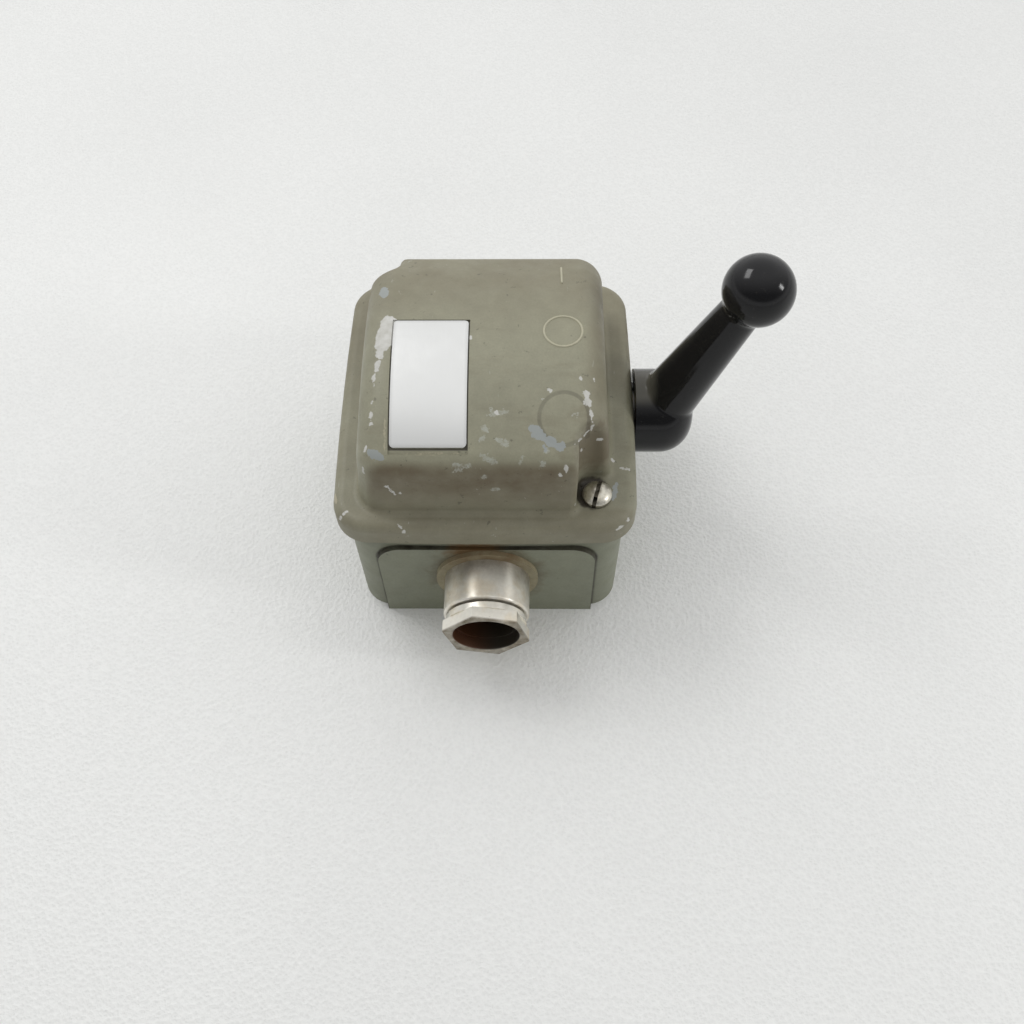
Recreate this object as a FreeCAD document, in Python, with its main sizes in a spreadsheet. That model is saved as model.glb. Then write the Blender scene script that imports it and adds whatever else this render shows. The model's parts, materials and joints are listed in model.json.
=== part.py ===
"""Enclosed cam switch with a side lever, as a parametric document.

The frame: the origin is the centre of the mounting face, +Z points out of the wall towards the
cover, +X towards the lever and -Y towards the cable gland. Every length is in millimetres.
The lever stands upright at rest, in the off position.
"""
import FreeCAD, Part
import math
import os
import re

import Sketcher
from FreeCAD import Placement, Rotation, Vector

# Driving dimensions: alias, value, meaning
DIMENSIONS = [
    ("case_width", 93, "cover rim, along X, at the middle of its bulged sides"),
    ("case_length", 98.5, "cover rim, along Y, at the middle of its bulged sides"),
    ("side_bulge", 0.9, "how far each side of the rim swells between its corners"),
    ("corner_radius", 11, "plan corners of the rim"),
    ("rim_overhang", 3, "rim past the top of the base, all round"),
    ("rim_height", 9, "upright band of the cover rim"),
    ("rim_round", 3.4, "rounding along the top of the rim"),
    ("front_ledge", 5.6, "rim past the foot of the hood, at the front"),
    ("side_ledge", 8.1, "rim past the foot of the hood, at both sides"),
    ("rear_ledge", 11.6, "rim past the foot of the hood, at the rear"),
    ("hood_draft", 5, "slope of the hood's two flat sides, degrees"),
    ("hood_round", 8.6, "rounding along the hood's two flat sides"),
    ("hood_foot_round", 2, "hollow where the hood meets the ledge"),
    ("cover_height", 44.8, "cover from its joint face to the crown"),
    ("crown_rise", 17.5, "crown above the upright front and back of the hood"),
    ("shoulder_radius", 9, "shoulder between the crown and the front or back"),
    ("cover_wall", 3.4, "wall of the cover"),
    ("base_height", 47, "base from the mounting face to its joint face"),
    ("base_draft", 0.4, "slope of the base walls, degrees"),
    ("base_floor", 4, "floor of the base"),
    ("base_wall", 4, "wall of the base"),
    ("base_corner", 9.5, "plan corners of the base"),
    ("gasket_thickness", 1.2, "gasket between base and cover"),
    ("gasket_width", 3, "width of the gasket ring"),
    ("panel_width", 68.5, "raised panel that carries the gland"),
    ("panel_height", 41.2, "top of the raised panel"),
    ("panel_proud", 1, "panel in front of the top of the base wall"),
    ("panel_corner", 8, "upper corners of the raised panel"),
    ("screw_inset_x", 4.7, "cover screw axis in from the flat side of the hood"),
    ("screw_inset_y", 6.1, "cover screw axis in from the front or rear of the hood"),
    ("scoop_reach", 6.4, "scoop wall from the cover screw axis"),
    ("scoop_corner", 5.8, "inner corner of a scoop in plan"),
    ("scoop_round", 2.2, "rounded edge of a scoop on the hood"),
    ("cover_screw_radius", 2.5, "shank of a cover screw"),
    ("cover_screw_head", 4.45, "head radius of a cover screw"),
    ("cover_head_height", 3, "head height of a cover screw"),
    ("cover_screw_length", 26, "shank length of a cover screw"),
    ("pillar_radius", 4.6, "pillar under each cover screw"),
    ("pillar_depth", 24, "length of a pillar below the joint face"),
    ("mount_spacing_x", 54, "wall screw holes, along X"),
    ("mount_spacing_y", 52, "wall screw holes, along Y"),
    ("mount_hole_radius", 2.75, "wall screw hole"),
    ("plate_width", 21.7, "nameplate, along X"),
    ("plate_length", 38.4, "nameplate, along Y in plan"),
    ("plate_thickness", 0.6, "sheet of the nameplate"),
    ("plate_x", -15.1, "centre of the nameplate along X"),
    ("plate_y", -19.15, "centre of the nameplate along Y"),
    ("plate_corner", 1.2, "corners of the nameplate"),
    ("plate_recess", 0.5, "depth of the recess under the nameplate"),
    ("plate_gap", 0.4, "play round the nameplate in its recess"),
    ("plate_gap_front", 1.6, "play in front of the nameplate"),
    ("fit_clearance", 0.05, "radial play of a running or sliding fit"),
    ("screw_clearance", 0.25, "radial play of a screw in a through hole"),
    ("axle_y", 1.25, "axle behind the middle of the case"),
    ("axle_radius", 5, "axle in its bush and in the lever hub"),
    ("axle_square", 7, "square of the axle through the cams"),
    ("journal_radius", 3.4, "far end of the axle in the left frame plate"),
    ("bush_radius", 6.6, "outside of the axle bush"),
    ("bush_flange", 8, "inner flange radius of the axle bush"),
    ("bush_flange_width", 2, "inner flange of the axle bush along the axle"),
    ("boss_radius", 12, "half round boss of the base under the bush"),
    ("felt_width", 1, "felt ring between bush and hub"),
    ("hub_radius", 13.5, "lever hub"),
    ("hub_length", 19.1, "lever hub along the axle"),
    ("hub_round", 10.5, "rounded outer end of the hub"),
    ("hub_wall", 8, "solid end of the hub past the axle"),
    ("hub_gap", 0.4, "hub clear of the case"),
    ("arm_start", 7.9, "arm centre line from the inner end of the hub, at the axle"),
    ("arm_rise", 56.6, "ball centre above the axle"),
    ("arm_lean", 23, "ball centre past the start of the arm, along X"),
    ("arm_root_radius", 9.6, "arm at the axle"),
    ("arm_tip_radius", 6.2, "arm at the ball"),
    ("arm_blend", 2, "hollow where the arm leaves the hub"),
    ("ball_radius", 10.4, "grip ball of the lever"),
    ("neck_round", 3, "hollow where the arm meets the ball"),
    ("lever_throw", 45, "turn from off to on, degrees"),
    ("set_screw_radius", 2, "set screw through the hub"),
    ("frame_clearance", 3.2, "foot of the left frame plate clear of the base wall"),
    ("wheel_clearance", 7, "detent wheel clear of the axle bush"),
    ("deck_web", 4, "closed side of a contact deck"),
    ("deck_clearance", 1, "contact decks clear of the cover beside the rear scoop"),
    ("deck_rise", 18, "contact deck above the axle"),
    ("deck_drop", 34, "contact deck below the axle"),
    ("deck_corner", 3, "corners of a contact deck"),
    ("cam_high", 12, "cam radius that holds a contact open"),
    ("cam_lift", 3, "fall of the cam from open to closed"),
    ("cam_side_play", 1.5, "cam clear of its deck at each side"),
    ("cam_room", 1.5, "cam well past the cam"),
    ("cam_gap", 0.3, "plunger nose below the cam"),
    ("plunger_width", 7.6, "plunger across the axle"),
    ("plunger_length", 12.3, "plunger from its nose to the contact bridge"),
    ("plunger_play", 0.2, "play of the plunger in its guide"),
    ("stem_radius", 1.5, "stem of the plunger through bridge and spring"),
    ("stem_length", 3.5, "stem of the plunger below the bridge seat"),
    ("bridge_play", 1.5, "contact bridge clear of the ends of its chamber"),
    ("bridge_width", 6, "contact bridge along the axle"),
    ("bridge_thickness", 1.5, "contact bridge sheet"),
    ("contact_gap", 0.1, "bridge below the fixed tips when closed"),
    ("tip_radius", 2, "contact tip"),
    ("tip_height", 1.3, "contact tip"),
    ("tip_play", 3, "contact tip clear of the end of its chamber"),
    ("strip_thickness", 1.2, "fixed contact sheet"),
    ("strip_width", 6, "fixed contact along the axle"),
    ("strip_lead", 1, "fixed contact past its tip"),
    ("strip_proud", 8.5, "fixed contact outside the deck"),
    ("deck_end_wall", 2, "deck past each end of its contact chamber"),
    ("spring_length", 6.2, "contact spring at rest"),
    ("spring_radius", 2.9, "contact spring, centre line of its wire"),
    ("spring_wire", 0.45, "radius of the contact spring wire"),
    ("spring_turns", 3, "turns of a contact spring"),
    ("terminal_screw_radius", 1.75, "terminal screw shank"),
    ("terminal_head_radius", 3.2, "terminal screw head"),
    ("terminal_head_height", 2.2, "terminal screw head"),
    ("terminal_screw_length", 7, "terminal screw shank"),
    ("terminal_inset", 4, "terminal screw from the outer end of its strip"),
    ("plate_sheet", 1.6, "sheet of the two frame plates"),
    ("barrier_thickness", 1.4, "insulating barrier beside the last deck"),
    ("foot_length", 8, "bent foot of a frame plate"),
    ("foot_height", 6, "boss under a frame foot"),
    ("foot_boss_radius", 4, "boss under a frame foot"),
    ("foot_screw_radius", 1.75, "frame foot screw"),
    ("foot_screw_spacing", 26, "two screws of one frame foot"),
    ("rod_radius", 2, "tie rod"),
    ("rod_edge", 4.5, "tie rod in from the edge of a deck"),
    ("rod_z", 13, "tie rod above the axle"),
    ("rod_nut_width", 7, "tie rod nut across flats"),
    ("rod_nut_height", 3.2, "tie rod nut"),
    ("rod_proud", 1.5, "tie rod past its nut"),
    ("wheel_radius", 11, "detent wheel over its lobes"),
    ("wheel_notch_radius", 2.2, "notches of the detent wheel"),
    ("wheel_width", 5, "detent wheel along the axle"),
    ("wheel_gap", 0.9, "detent wheel clear of the frame plate"),
    ("wheel_notches", 8, "notches round the detent wheel"),
    ("leaf_thickness", 0.7, "detent leaf spring"),
    ("leaf_clearance", 0.56, "detent leaf clear of the tie rod nuts"),
    ("leaf_tab", 6, "tab of the detent leaf on the frame plate"),
    ("leaf_screw_radius", 1.25, "screw through the tab of the detent leaf"),
    ("finger_reach", 15.5, "stop finger of the detent wheel from the axle"),
    ("finger_half_angle", 8, "half of the stop finger, degrees"),
    ("stop_reach", 13.4, "stop pins from the axle"),
    ("stop_radius", 1.5, "stop pin"),
    ("stop_play", 0.6, "stop pin clear of the finger at either end of the throw, degrees"),
    ("gland_height", 24.5, "gland axis above the mounting face"),
    ("gland_thread_radius", 11.2, "gland shank through the base wall"),
    ("gland_radius", 13.5, "round body of the gland"),
    ("gland_length", 13.2, "round body of the gland in front of its washer"),
    ("gland_washer_radius", 16.2, "fibre washer under the gland"),
    ("gland_washer_thickness", 1.6, "fibre washer under the gland"),
    ("gland_bore", 8, "clear bore of the gland body"),
    ("gland_well", 10.3, "threaded well of the gland body"),
    ("gland_well_depth", 11.5, "threaded well of the gland body"),
    ("gland_lip_round", 0.8, "rounded front edge of the gland body"),
    ("nut_flats", 24, "pressure nut across flats"),
    ("nut_hex_length", 4, "hexagon of the pressure nut"),
    ("nut_turn", -14, "turn of the pressure nut's hexagon, degrees"),
    ("nut_collar_radius", 12.6, "round collar behind the hexagon"),
    ("nut_collar_length", 2, "round collar behind the hexagon"),
    ("nut_gap", 0.8, "pressure nut clear of the gland body"),
    ("nut_shank_length", 3.6, "pressure nut inside the gland body"),
    ("nut_bore", 9.3, "bore of the pressure nut"),
    ("nut_mouth", 10.3, "wider mouth of the pressure nut, in front of its shank"),
    ("nut_mouth_round", 0.8, "rounded mouth of the pressure nut"),
    ("seal_length", 6.5, "rubber seal of the gland"),
    ("seal_bore", 6, "bore of the rubber seal"),
    ("seal_radius", 10, "outside of the rubber seal and its thrust ring"),
    ("locknut_flats", 27, "locknut across flats"),
    ("locknut_height", 4, "locknut inside the base"),
    ("locknut_proud", 1.5, "gland shank past its locknut"),
    ("earth_screw_radius", 2, "earth screw shank"),
    ("earth_head_radius", 4, "earth screw head"),
    ("earth_x", -16, "earth screw on the floor, along X"),
    ("earth_y", -30, "earth screw on the floor, along Y"),
]

doc = FreeCAD.newDocument("enclosed_cam_switch")
sheet = doc.addObject("Spreadsheet::Sheet", "Sizes")
for row, (alias, value, meaning) in enumerate(DIMENSIONS, 1):
    sheet.set(f"A{row}", meaning)
    sheet.set(f"B{row}", str(value))
    sheet.setAlias(f"B{row}", alias)
doc.recompute()

DECKS = (1, 2, 3)
SIDES = (("front", -1), ("rear", 1))
ALIASES = re.compile(r"\b(" + "|".join(row[0] for row in DIMENSIONS) + r")\b")

# Slacks for finding an edge by its place
NEAR = 0.1
TINY = 1e-4

# Places worked out from the driving dimensions
BASE_X = "(case_width / 2 - rim_overhang)"
BASE_Y = "(case_length / 2 - rim_overhang)"
COVER_Z = "(base_height + gasket_thickness)"
RIM_Z = f"({COVER_Z} + rim_height)"
TOP_Z = f"({COVER_Z} + cover_height)"
SPRING_Z = f"({TOP_Z} - crown_rise)"
HOOD_X = "(case_width / 2 - side_ledge)"
HOOD_Y = "((case_length - front_ledge - rear_ledge) / 2)"
HOOD_MIDDLE = "((front_ledge - rear_ledge) / 2)"
AXLE_Z = "(base_height + gasket_thickness / 2)"
SCREW_X = f"({HOOD_X} - screw_inset_x)"
SCREW_Y = f"({HOOD_Y} - screw_inset_y)"
PANEL_Y = f"({BASE_Y} + panel_proud)"
BUSH_END = "(case_width / 2)"
BUSH_START = f"({BASE_X} - base_wall - bush_flange_width)"
HUB_START = "(case_width / 2 + hub_gap)"
AXLE_END = f"({HUB_START} + hub_length - hub_wall)"
FLOOR_X = f"({BASE_X} - base_wall - (base_height - base_floor) * tan(base_draft))"
STACK_START = f"(frame_clearance + foot_length + plate_sheet - {FLOOR_X})"
WHEEL_START = f"({BUSH_START} - wheel_clearance - wheel_width)"
PLATE_END = f"({WHEEL_START} - wheel_gap)"
PLATE_START = f"({PLATE_END} - plate_sheet)"
STACK_END = f"({PLATE_START} - barrier_thickness)"
DECK_THICKNESS = f"(({STACK_END} - {STACK_START}) / {len(DECKS)})"
DECK_HALF_WIDTH = f"({HOOD_MIDDLE} + {SCREW_Y} - scoop_reach - cover_wall - axle_y - deck_clearance)"
CHAMBER_HALF_WIDTH = f"({DECK_HALF_WIDTH} - deck_end_wall)"
TIP_REACH = f"({CHAMBER_HALF_WIDTH} - tip_play - tip_radius)"
STRIP_INNER = f"({TIP_REACH} - tip_radius - strip_lead)"
ROD_Y = f"({DECK_HALF_WIDTH} - rod_edge)"
LEAF_HALF_LENGTH = f"({ROD_Y} - rod_nut_width / sqrt(3) - leaf_clearance)"
NOSE_Z = "(-cam_high - cam_gap)"
BRIDGE_Z = "(-cam_high - cam_gap - plunger_length)"
TIP_Z = f"({BRIDGE_Z} + cam_lift + contact_gap)"
STRIP_Z = f"({TIP_Z} + tip_height)"
STRIP_TOP = f"({STRIP_Z} + strip_thickness)"
SPRING_FLOOR = f"({BRIDGE_Z} - bridge_thickness - spring_length)"
STRIP_END = f"({DECK_HALF_WIDTH} + strip_proud)"
GLAND_FRONT = f"({PANEL_Y} + gland_washer_thickness + gland_length)"
GLAND_SEAT = f"({GLAND_FRONT} - gland_well_depth)"
BEYOND = "(case_width + case_length)"
LEAF_Z = "(wheel_radius + cam_gap)"
LEAF_SCREW_Y = f"(leaf_tab / 2 - {LEAF_HALF_LENGTH})"
LEAF_SCREW_Z = f"({LEAF_Z} + 0.58 * leaf_tab)"


def cells(expression):
    """The expression with each alias written as a cell of the sheet."""
    return ALIASES.sub(r"Sizes.\1", expression)


def number(expression):
    """The present value of an expression."""
    return float(sheet.evalExpression(cells(expression)))


def bind(item, name, expression):
    """Tie one property of an object to the sheet."""
    item.setExpression(name, cells(expression))


def new_body(label, y="0", z="0", x="0"):
    """An empty body, whose own origin stands at (x, y, z)."""
    body = doc.addObject("PartDesign::Body", label)
    body.Label = label
    for axis, place in (("x", x), ("y", y), ("z", z)):
        bind(body, f"Placement.Base.{axis}", place)
    return body


def new_sketch(body, plane, offset="0"):
    """A sketch on one of the body's origin planes, moved along that plane's normal."""
    sketch = body.newObject("Sketcher::SketchObject", body.Label + "_sketch")
    support = next(item for item in body.Origin.OriginFeatures if item.Role == plane)
    sketch.AttachmentSupport = [(support, "")]
    sketch.MapMode = "FlatFace"
    bind(sketch, "AttachmentOffset.Base.z", offset)
    return sketch


def constrain(sketch, kind, *places, to=None):
    """One constraint, tied to an expression where it has a size."""
    if to is None:
        return sketch.addConstraint(Sketcher.Constraint(kind, *places))
    index = sketch.addConstraint(Sketcher.Constraint(kind, *places, number(to)))
    bind(sketch, f"Constraints[{index}]", to)
    return index


def place_point(sketch, geometry, position, x, y):
    """Hold one point of the sketch at (x, y)."""
    constrain(sketch, "DistanceX", -1, 1, geometry, position, to=x)
    constrain(sketch, "DistanceY", -1, 1, geometry, position, to=y)


def arc_through(start, via, end):
    """The arc from start to end through via, and whether it runs from end to start."""
    circle = Part.Arc(start, via, end).toShape().Curve
    centre = circle.Center
    turn = (via - start).cross(end - via).z
    first, last = (start, end) if turn > 0 else (end, start)
    begin = math.atan2(first.y - centre.y, first.x - centre.x)
    finish = math.atan2(last.y - centre.y, last.x - centre.x)
    if finish <= begin:
        finish += 2 * math.pi
    flat = Part.Circle(centre, Vector(0, 0, 1), circle.Radius)
    return Part.ArcOfCircle(flat, begin, finish), turn <= 0


def outline(sketch, *points):
    """A closed outline. Each point is (x, y), or (x, y, via_x, via_y) to reach it by an arc."""
    spots = [Vector(number(point[0]), number(point[1]), 0) for point in points]
    ends = []
    for index, point in enumerate(points):
        start = spots[index - 1]
        if len(point) == 2:
            edge = sketch.addGeometry(Part.LineSegment(start, spots[index]))
            ends.append((edge, 1, 2))
        else:
            via = Vector(number(point[2]), number(point[3]), 0)
            arc, backwards = arc_through(start, via, spots[index])
            edge = sketch.addGeometry(arc)
            ends.append((edge, 2, 1) if backwards else (edge, 1, 2))
            mark = sketch.addGeometry(Part.Point(via), True)
            place_point(sketch, mark, 1, point[2], point[3])
            constrain(sketch, "PointOnObject", mark, 1, edge)
    for index, (edge, first, last) in enumerate(ends):
        before = ends[index - 1]
        constrain(sketch, "Coincident", before[0], before[2], edge, first)
        place_point(sketch, edge, last, points[index][0], points[index][1])


def rectangle(sketch, left, low, right, high):
    """An upright rectangle between two corners."""
    outline(sketch, (left, low), (right, low), (right, high), (left, high))


def circle(sketch, radius, x="0", y="0"):
    """A circle of that radius about (x, y)."""
    spot = Vector(number(x), number(y), 0)
    index = sketch.addGeometry(Part.Circle(spot, Vector(0, 0, 1), number(radius)))
    place_point(sketch, index, 3, x, y)
    constrain(sketch, "Radius", index, to=radius)


def hexagon(sketch, flats, x="0", y="0", turn="0"):
    """A regular hexagon of that width across flats, turned about its centre."""
    corner = f"({flats}) / sqrt(3)"
    corners = []
    for step in range(6):
        angle = f"({step} * 60 + ({turn}))"
        corners.append((f"{x} + {corner} * cos({angle})", f"{y} + {corner} * sin({angle})"))
    outline(sketch, *corners)


def extrude(body, kind, sketch, length, flip=False, taper=None):
    """A Pad or a Pocket of a sketch."""
    feature = body.newObject("PartDesign::" + kind, f"{body.Label}_{kind.lower()}")
    feature.Profile = sketch
    bind(feature, "Length", length)
    feature.Reversed = flip
    if taper:
        bind(feature, "TaperAngle", taper)
    return feature


def pad(body, sketch, length, **options):
    """Material along the sketch's normal."""
    return extrude(body, "Pad", sketch, length, **options)


def pocket(body, sketch, length, **options):
    """A cut against the sketch's normal, which has to take material away."""
    doc.recompute()
    before = body.Shape.Volume
    feature = extrude(body, "Pocket", sketch, length, **options)
    doc.recompute()
    if body.Shape.Volume > before - 1e-6:
        raise RuntimeError(f"a pocket of {body.Label} cuts nothing")
    return feature


def revolve(body, sketch, axis):
    """A full turn of a sketch about one of its own axes."""
    feature = body.newObject("PartDesign::Revolution", body.Label + "_revolution")
    feature.Profile = sketch
    feature.ReferenceAxis = (sketch, [axis])
    feature.Angle = 360
    return feature


def pick_edges(shape, wanted):
    """The names of the edges that pass a test."""
    return [f"Edge{index}" for index, edge in enumerate(shape.Edges, 1) if wanted(edge)]


def round_edges(body, wanted, radius):
    """A fillet on the edges of the body that pass a test."""
    doc.recompute()
    tip = body.Tip
    names = pick_edges(tip.Shape, wanted)
    if not names:
        raise RuntimeError(f"no edge of {body.Label} to round")
    feature = body.newObject("PartDesign::Fillet", body.Label + "_fillet")
    feature.Base = (tip, names)
    bind(feature, "Radius", radius)
    doc.recompute()
    return feature


def rises(edge):
    """Whether an edge runs mostly along Z."""
    box = edge.BoundBox
    return box.ZLength > 3 * max(box.XLength, box.YLength)


def level(edge, height):
    """Whether an edge lies flat at a height."""
    box = edge.BoundBox
    return box.ZLength < TINY and abs(box.ZMin - height) < TINY


def rim_edge(edge, front, radius):
    """Whether an edge is the circle of that radius at a distance in front of the case's middle."""
    box = edge.BoundBox
    return box.YLength < TINY and abs(box.YMin + number(front)) < NEAR \
        and abs(box.XMax - number(radius)) < NEAR and abs(box.XMin + number(radius)) < NEAR


def cut(label, base, *tools):
    """The base less the tools, as one named object."""
    for index, tool in enumerate(tools, 1):
        result = doc.addObject("Part::Cut", f"{label}_cut_{index}")
        result.Base = base
        result.Tool = tool
        result.Refine = False
        base = result
    base.Label = label
    return base


def bulged_outline(sketch, half_x, half_y, bulge):
    """Four bowed sides that meet in sharp corners."""
    near_x = f"({half_x} - ({bulge}))"
    near_y = f"({half_y} - ({bulge}))"
    outline(
        sketch,
        (f"-{near_x}", f"-{near_y}", f"-{half_x}", "0"),
        (near_x, f"-{near_y}", "0", f"-{half_y}"),
        (near_x, near_y, half_x, "0"),
        (f"-{near_x}", near_y, "0", half_y),
    )


def crown_outline(sketch, inset, bottom):
    """The hood in side view: upright front and back, two shoulders and a crown, inset all round."""
    half_size = f"({HOOD_Y} - ({inset}))"
    shoulder_size = f"(shoulder_radius - ({inset}))"
    top_size = f"({TOP_Z} - ({inset}))"
    half = number(half_size)
    shoulder = number(shoulder_size)
    top = number(top_size)
    spring = number(SPRING_Z)
    low = number(bottom)
    rise = top - spring
    middle = number(HOOD_MIDDLE)
    side = half - shoulder
    crown = (side ** 2 + rise ** 2 - shoulder ** 2) / (2 * (rise - shoulder))
    slant = math.asin(side / (crown - shoulder))
    upright = math.pi / 2
    up = Vector(0, 0, 1)

    def arc(x, y, radius, start, end):
        return sketch.addGeometry(Part.ArcOfCircle(Part.Circle(Vector(x, y, 0), up, radius), start, end))

    def line(x, y, end_x, end_y):
        return sketch.addGeometry(Part.LineSegment(Vector(x, y, 0), Vector(end_x, end_y, 0)))

    floor = line(middle - half, low, middle + half, low)
    rear = line(middle + half, low, middle + half, spring)
    rear_shoulder = arc(middle + side, spring, shoulder, 0, upright - slant)
    arch = arc(middle, top - crown, crown, upright - slant, upright + slant)
    front_shoulder = arc(middle - side, spring, shoulder, upright + slant, math.pi)
    front = line(middle - half, spring, middle - half, low)
    apex = sketch.addGeometry(Part.Point(Vector(middle, top, 0)), True)
    constrain(sketch, "Coincident", floor, 2, rear, 1)
    constrain(sketch, "Coincident", front, 2, floor, 1)
    constrain(sketch, "Tangent", rear, 2, rear_shoulder, 1)
    constrain(sketch, "Tangent", rear_shoulder, 2, arch, 1)
    constrain(sketch, "Tangent", arch, 2, front_shoulder, 1)
    constrain(sketch, "Tangent", front_shoulder, 2, front, 1)
    constrain(sketch, "Horizontal", floor)
    constrain(sketch, "Vertical", rear)
    constrain(sketch, "Vertical", front)
    constrain(sketch, "Equal", rear_shoulder, front_shoulder)
    constrain(sketch, "DistanceX", -1, 1, arch, 3, to=HOOD_MIDDLE)
    constrain(sketch, "PointOnObject", apex, 1, arch)
    constrain(sketch, "DistanceX", -1, 1, apex, 1, to=HOOD_MIDDLE)
    constrain(sketch, "Radius", rear_shoulder, to=shoulder_size)
    constrain(sketch, "DistanceX", -1, 1, rear, 1, to=f"{HOOD_MIDDLE} + {half_size}")
    constrain(sketch, "DistanceX", floor, 1, floor, 2, to=f"2 * {half_size}")
    constrain(sketch, "DistanceY", -1, 1, floor, 1, to=bottom)
    constrain(sketch, "DistanceY", -1, 1, rear_shoulder, 3, to=SPRING_Z)
    constrain(sketch, "DistanceY", -1, 1, apex, 1, to=top_size)


def hood_sides(body, inset, foot):
    """Cut the two flat sides of a hood to their draft."""
    half = f"({HOOD_X} - ({inset}))"
    above = f"({TOP_Z} + cover_wall)"
    lean = f"(({above} - {foot}) * tan(hood_draft))"
    for side in ("", "-"):
        sketch = new_sketch(body, "XZ_Plane", "case_length")
        outline(
            sketch,
            (f"{side}{half}", foot),
            (f"{side}({half} + {lean})", foot),
            (f"{side}({half} + {lean})", above),
            (f"{side}({half} - {lean})", above),
        )
        pocket(body, sketch, "2 * case_length")


def scoop_sketch(body, wall, height):
    """The two corner scoops in plan, at a height, grown by a wall."""
    sketch = new_sketch(body, "XY_Plane", height)
    for side, other in (("", "-"), ("-", "+")):
        near_x = f"{side}({SCREW_X} - scoop_reach - ({wall}))"
        near_y = f"{HOOD_MIDDLE} {other} ({SCREW_Y} - scoop_reach - ({wall}))"
        rectangle(sketch, near_x, near_y, f"{side}case_width", f"{other}case_length")
    return sketch


def screw_places():
    """The two cover screws, on a diagonal of the case."""
    return ((SCREW_X, f"({HOOD_MIDDLE} - {SCREW_Y})"), (f"-{SCREW_X}", f"({HOOD_MIDDLE} + {SCREW_Y})"))


def circles(body, plane, offset, radius, places):
    """A sketch of equal circles."""
    sketch = new_sketch(body, plane, offset)
    for x, y in places:
        circle(sketch, radius, x, y)
    return sketch


def mount_places():
    """The four wall screw holes."""
    half_x = "mount_spacing_x / 2"
    half_y = "mount_spacing_y / 2"
    return [(f"{a}{half_x}", f"{b}{half_y}") for a in ("", "-") for b in ("", "-")]


def foot_places():
    """The four screws of the frame feet, left pair then right pair."""
    left = f"({STACK_START} - plate_sheet - foot_length / 2)"
    right = f"({PLATE_END} + foot_length / 2)"
    return [(x, f"axle_y {sign} foot_screw_spacing / 2") for x in (left, right) for sign in "+-"]


def make_base():
    """The cast base: drafted walls, gland panel, pillars, bosses, bearing half and wall holes."""
    body = new_body("base_housing")
    sketch = new_sketch(body, "XY_Plane", "base_height")
    bulged_outline(sketch, BASE_X, BASE_Y, "side_bulge")
    pad(body, sketch, "base_height", flip=True, taper="-base_draft")
    round_edges(body, rises, "base_corner")
    sketch = new_sketch(body, "XZ_Plane", PANEL_Y)
    half = "panel_width / 2"
    rectangle(sketch, f"-{half}", "0", half, "panel_height")
    pad(body, sketch, "panel_proud + base_wall", flip=True)
    panel_height = number("panel_height")
    front = -number(PANEL_Y)
    round_edges(
        body,
        lambda edge: level(edge, panel_height) and edge.BoundBox.YLength > NEAR
        and edge.BoundBox.XLength < TINY and edge.BoundBox.YMin < front + NEAR,
        "panel_corner",
    )
    boss_start = f"({BASE_X} - base_wall / 2)"
    sketch = new_sketch(body, "YZ_Plane", boss_start)
    outline(
        sketch,
        ("axle_y + boss_radius", "base_height"),
        ("axle_y - boss_radius", "base_height"),
        ("axle_y - boss_radius", f"{AXLE_Z} - boss_radius / 2"),
        ("axle_y + boss_radius", f"{AXLE_Z} - boss_radius / 2", "axle_y", f"{AXLE_Z} - 1.5 * boss_radius"),
    )
    pad(body, sketch, f"{BUSH_END} - {boss_start}")
    sketch = new_sketch(body, "XY_Plane", "base_height")
    bulged_outline(sketch, f"({BASE_X} - base_wall)", f"({BASE_Y} - base_wall)", "side_bulge")
    pocket(body, sketch, "base_height - base_floor", taper="-base_draft")
    floor = number("base_floor")
    round_edges(body, lambda edge: rises(edge) and abs(edge.BoundBox.ZMin - floor) < NEAR,
                "base_corner - base_wall")
    pillars(body, "base_height", "pillar_depth")
    boss_top = "base_floor + foot_height"
    pad(body, circles(body, "XY_Plane", boss_top, "foot_boss_radius", foot_places()),
        "foot_height + base_floor / 2", flip=True)
    pocket(body, circles(body, "XY_Plane", "base_height", "cover_screw_radius + fit_clearance",
                         screw_places()), "pillar_depth - base_wall")
    pocket(body, circles(body, "XY_Plane", boss_top, "foot_screw_radius + fit_clearance",
                         foot_places()), "foot_height + base_floor / 2")
    pocket(body, circles(body, "XY_Plane", "base_floor", "mount_hole_radius", mount_places()),
           "2 * base_floor")
    pocket(body, circles(body, "XY_Plane", "base_floor", "earth_screw_radius + fit_clearance",
                         [("earth_x", "earth_y")]), "base_floor - base_wall / 4")
    sketch = circles(body, "XZ_Plane", PANEL_Y, "gland_thread_radius + screw_clearance",
                     [("0", "gland_height")])
    pocket(body, sketch, "panel_proud + 2 * base_wall + base_floor")
    bush_pockets(body)
    return body


def pillars(body, height, depth):
    """The two screw pillars down from a height, each with a rib to the two walls beside it."""
    pad(body, circles(body, "XY_Plane", height, "pillar_radius", screw_places()), depth, flip=True)
    half = "0.7 * pillar_radius"
    sketch = new_sketch(body, "XY_Plane", height)
    for (x, y), side in zip(screw_places(), ("", "-")):
        rectangle(sketch, x, f"{y} - {half}", f"{side}({BASE_X} - base_wall / 2)", f"{y} + {half}")
    pad(body, sketch, depth, flip=True)
    sketch = new_sketch(body, "XY_Plane", height)
    for (x, y), side in zip(screw_places(), ("-", "")):
        rectangle(sketch, f"{x} - {half}", y, f"{x} + {half}", f"{side}({BASE_Y} - base_wall / 2)")
    pad(body, sketch, depth, flip=True)


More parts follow.
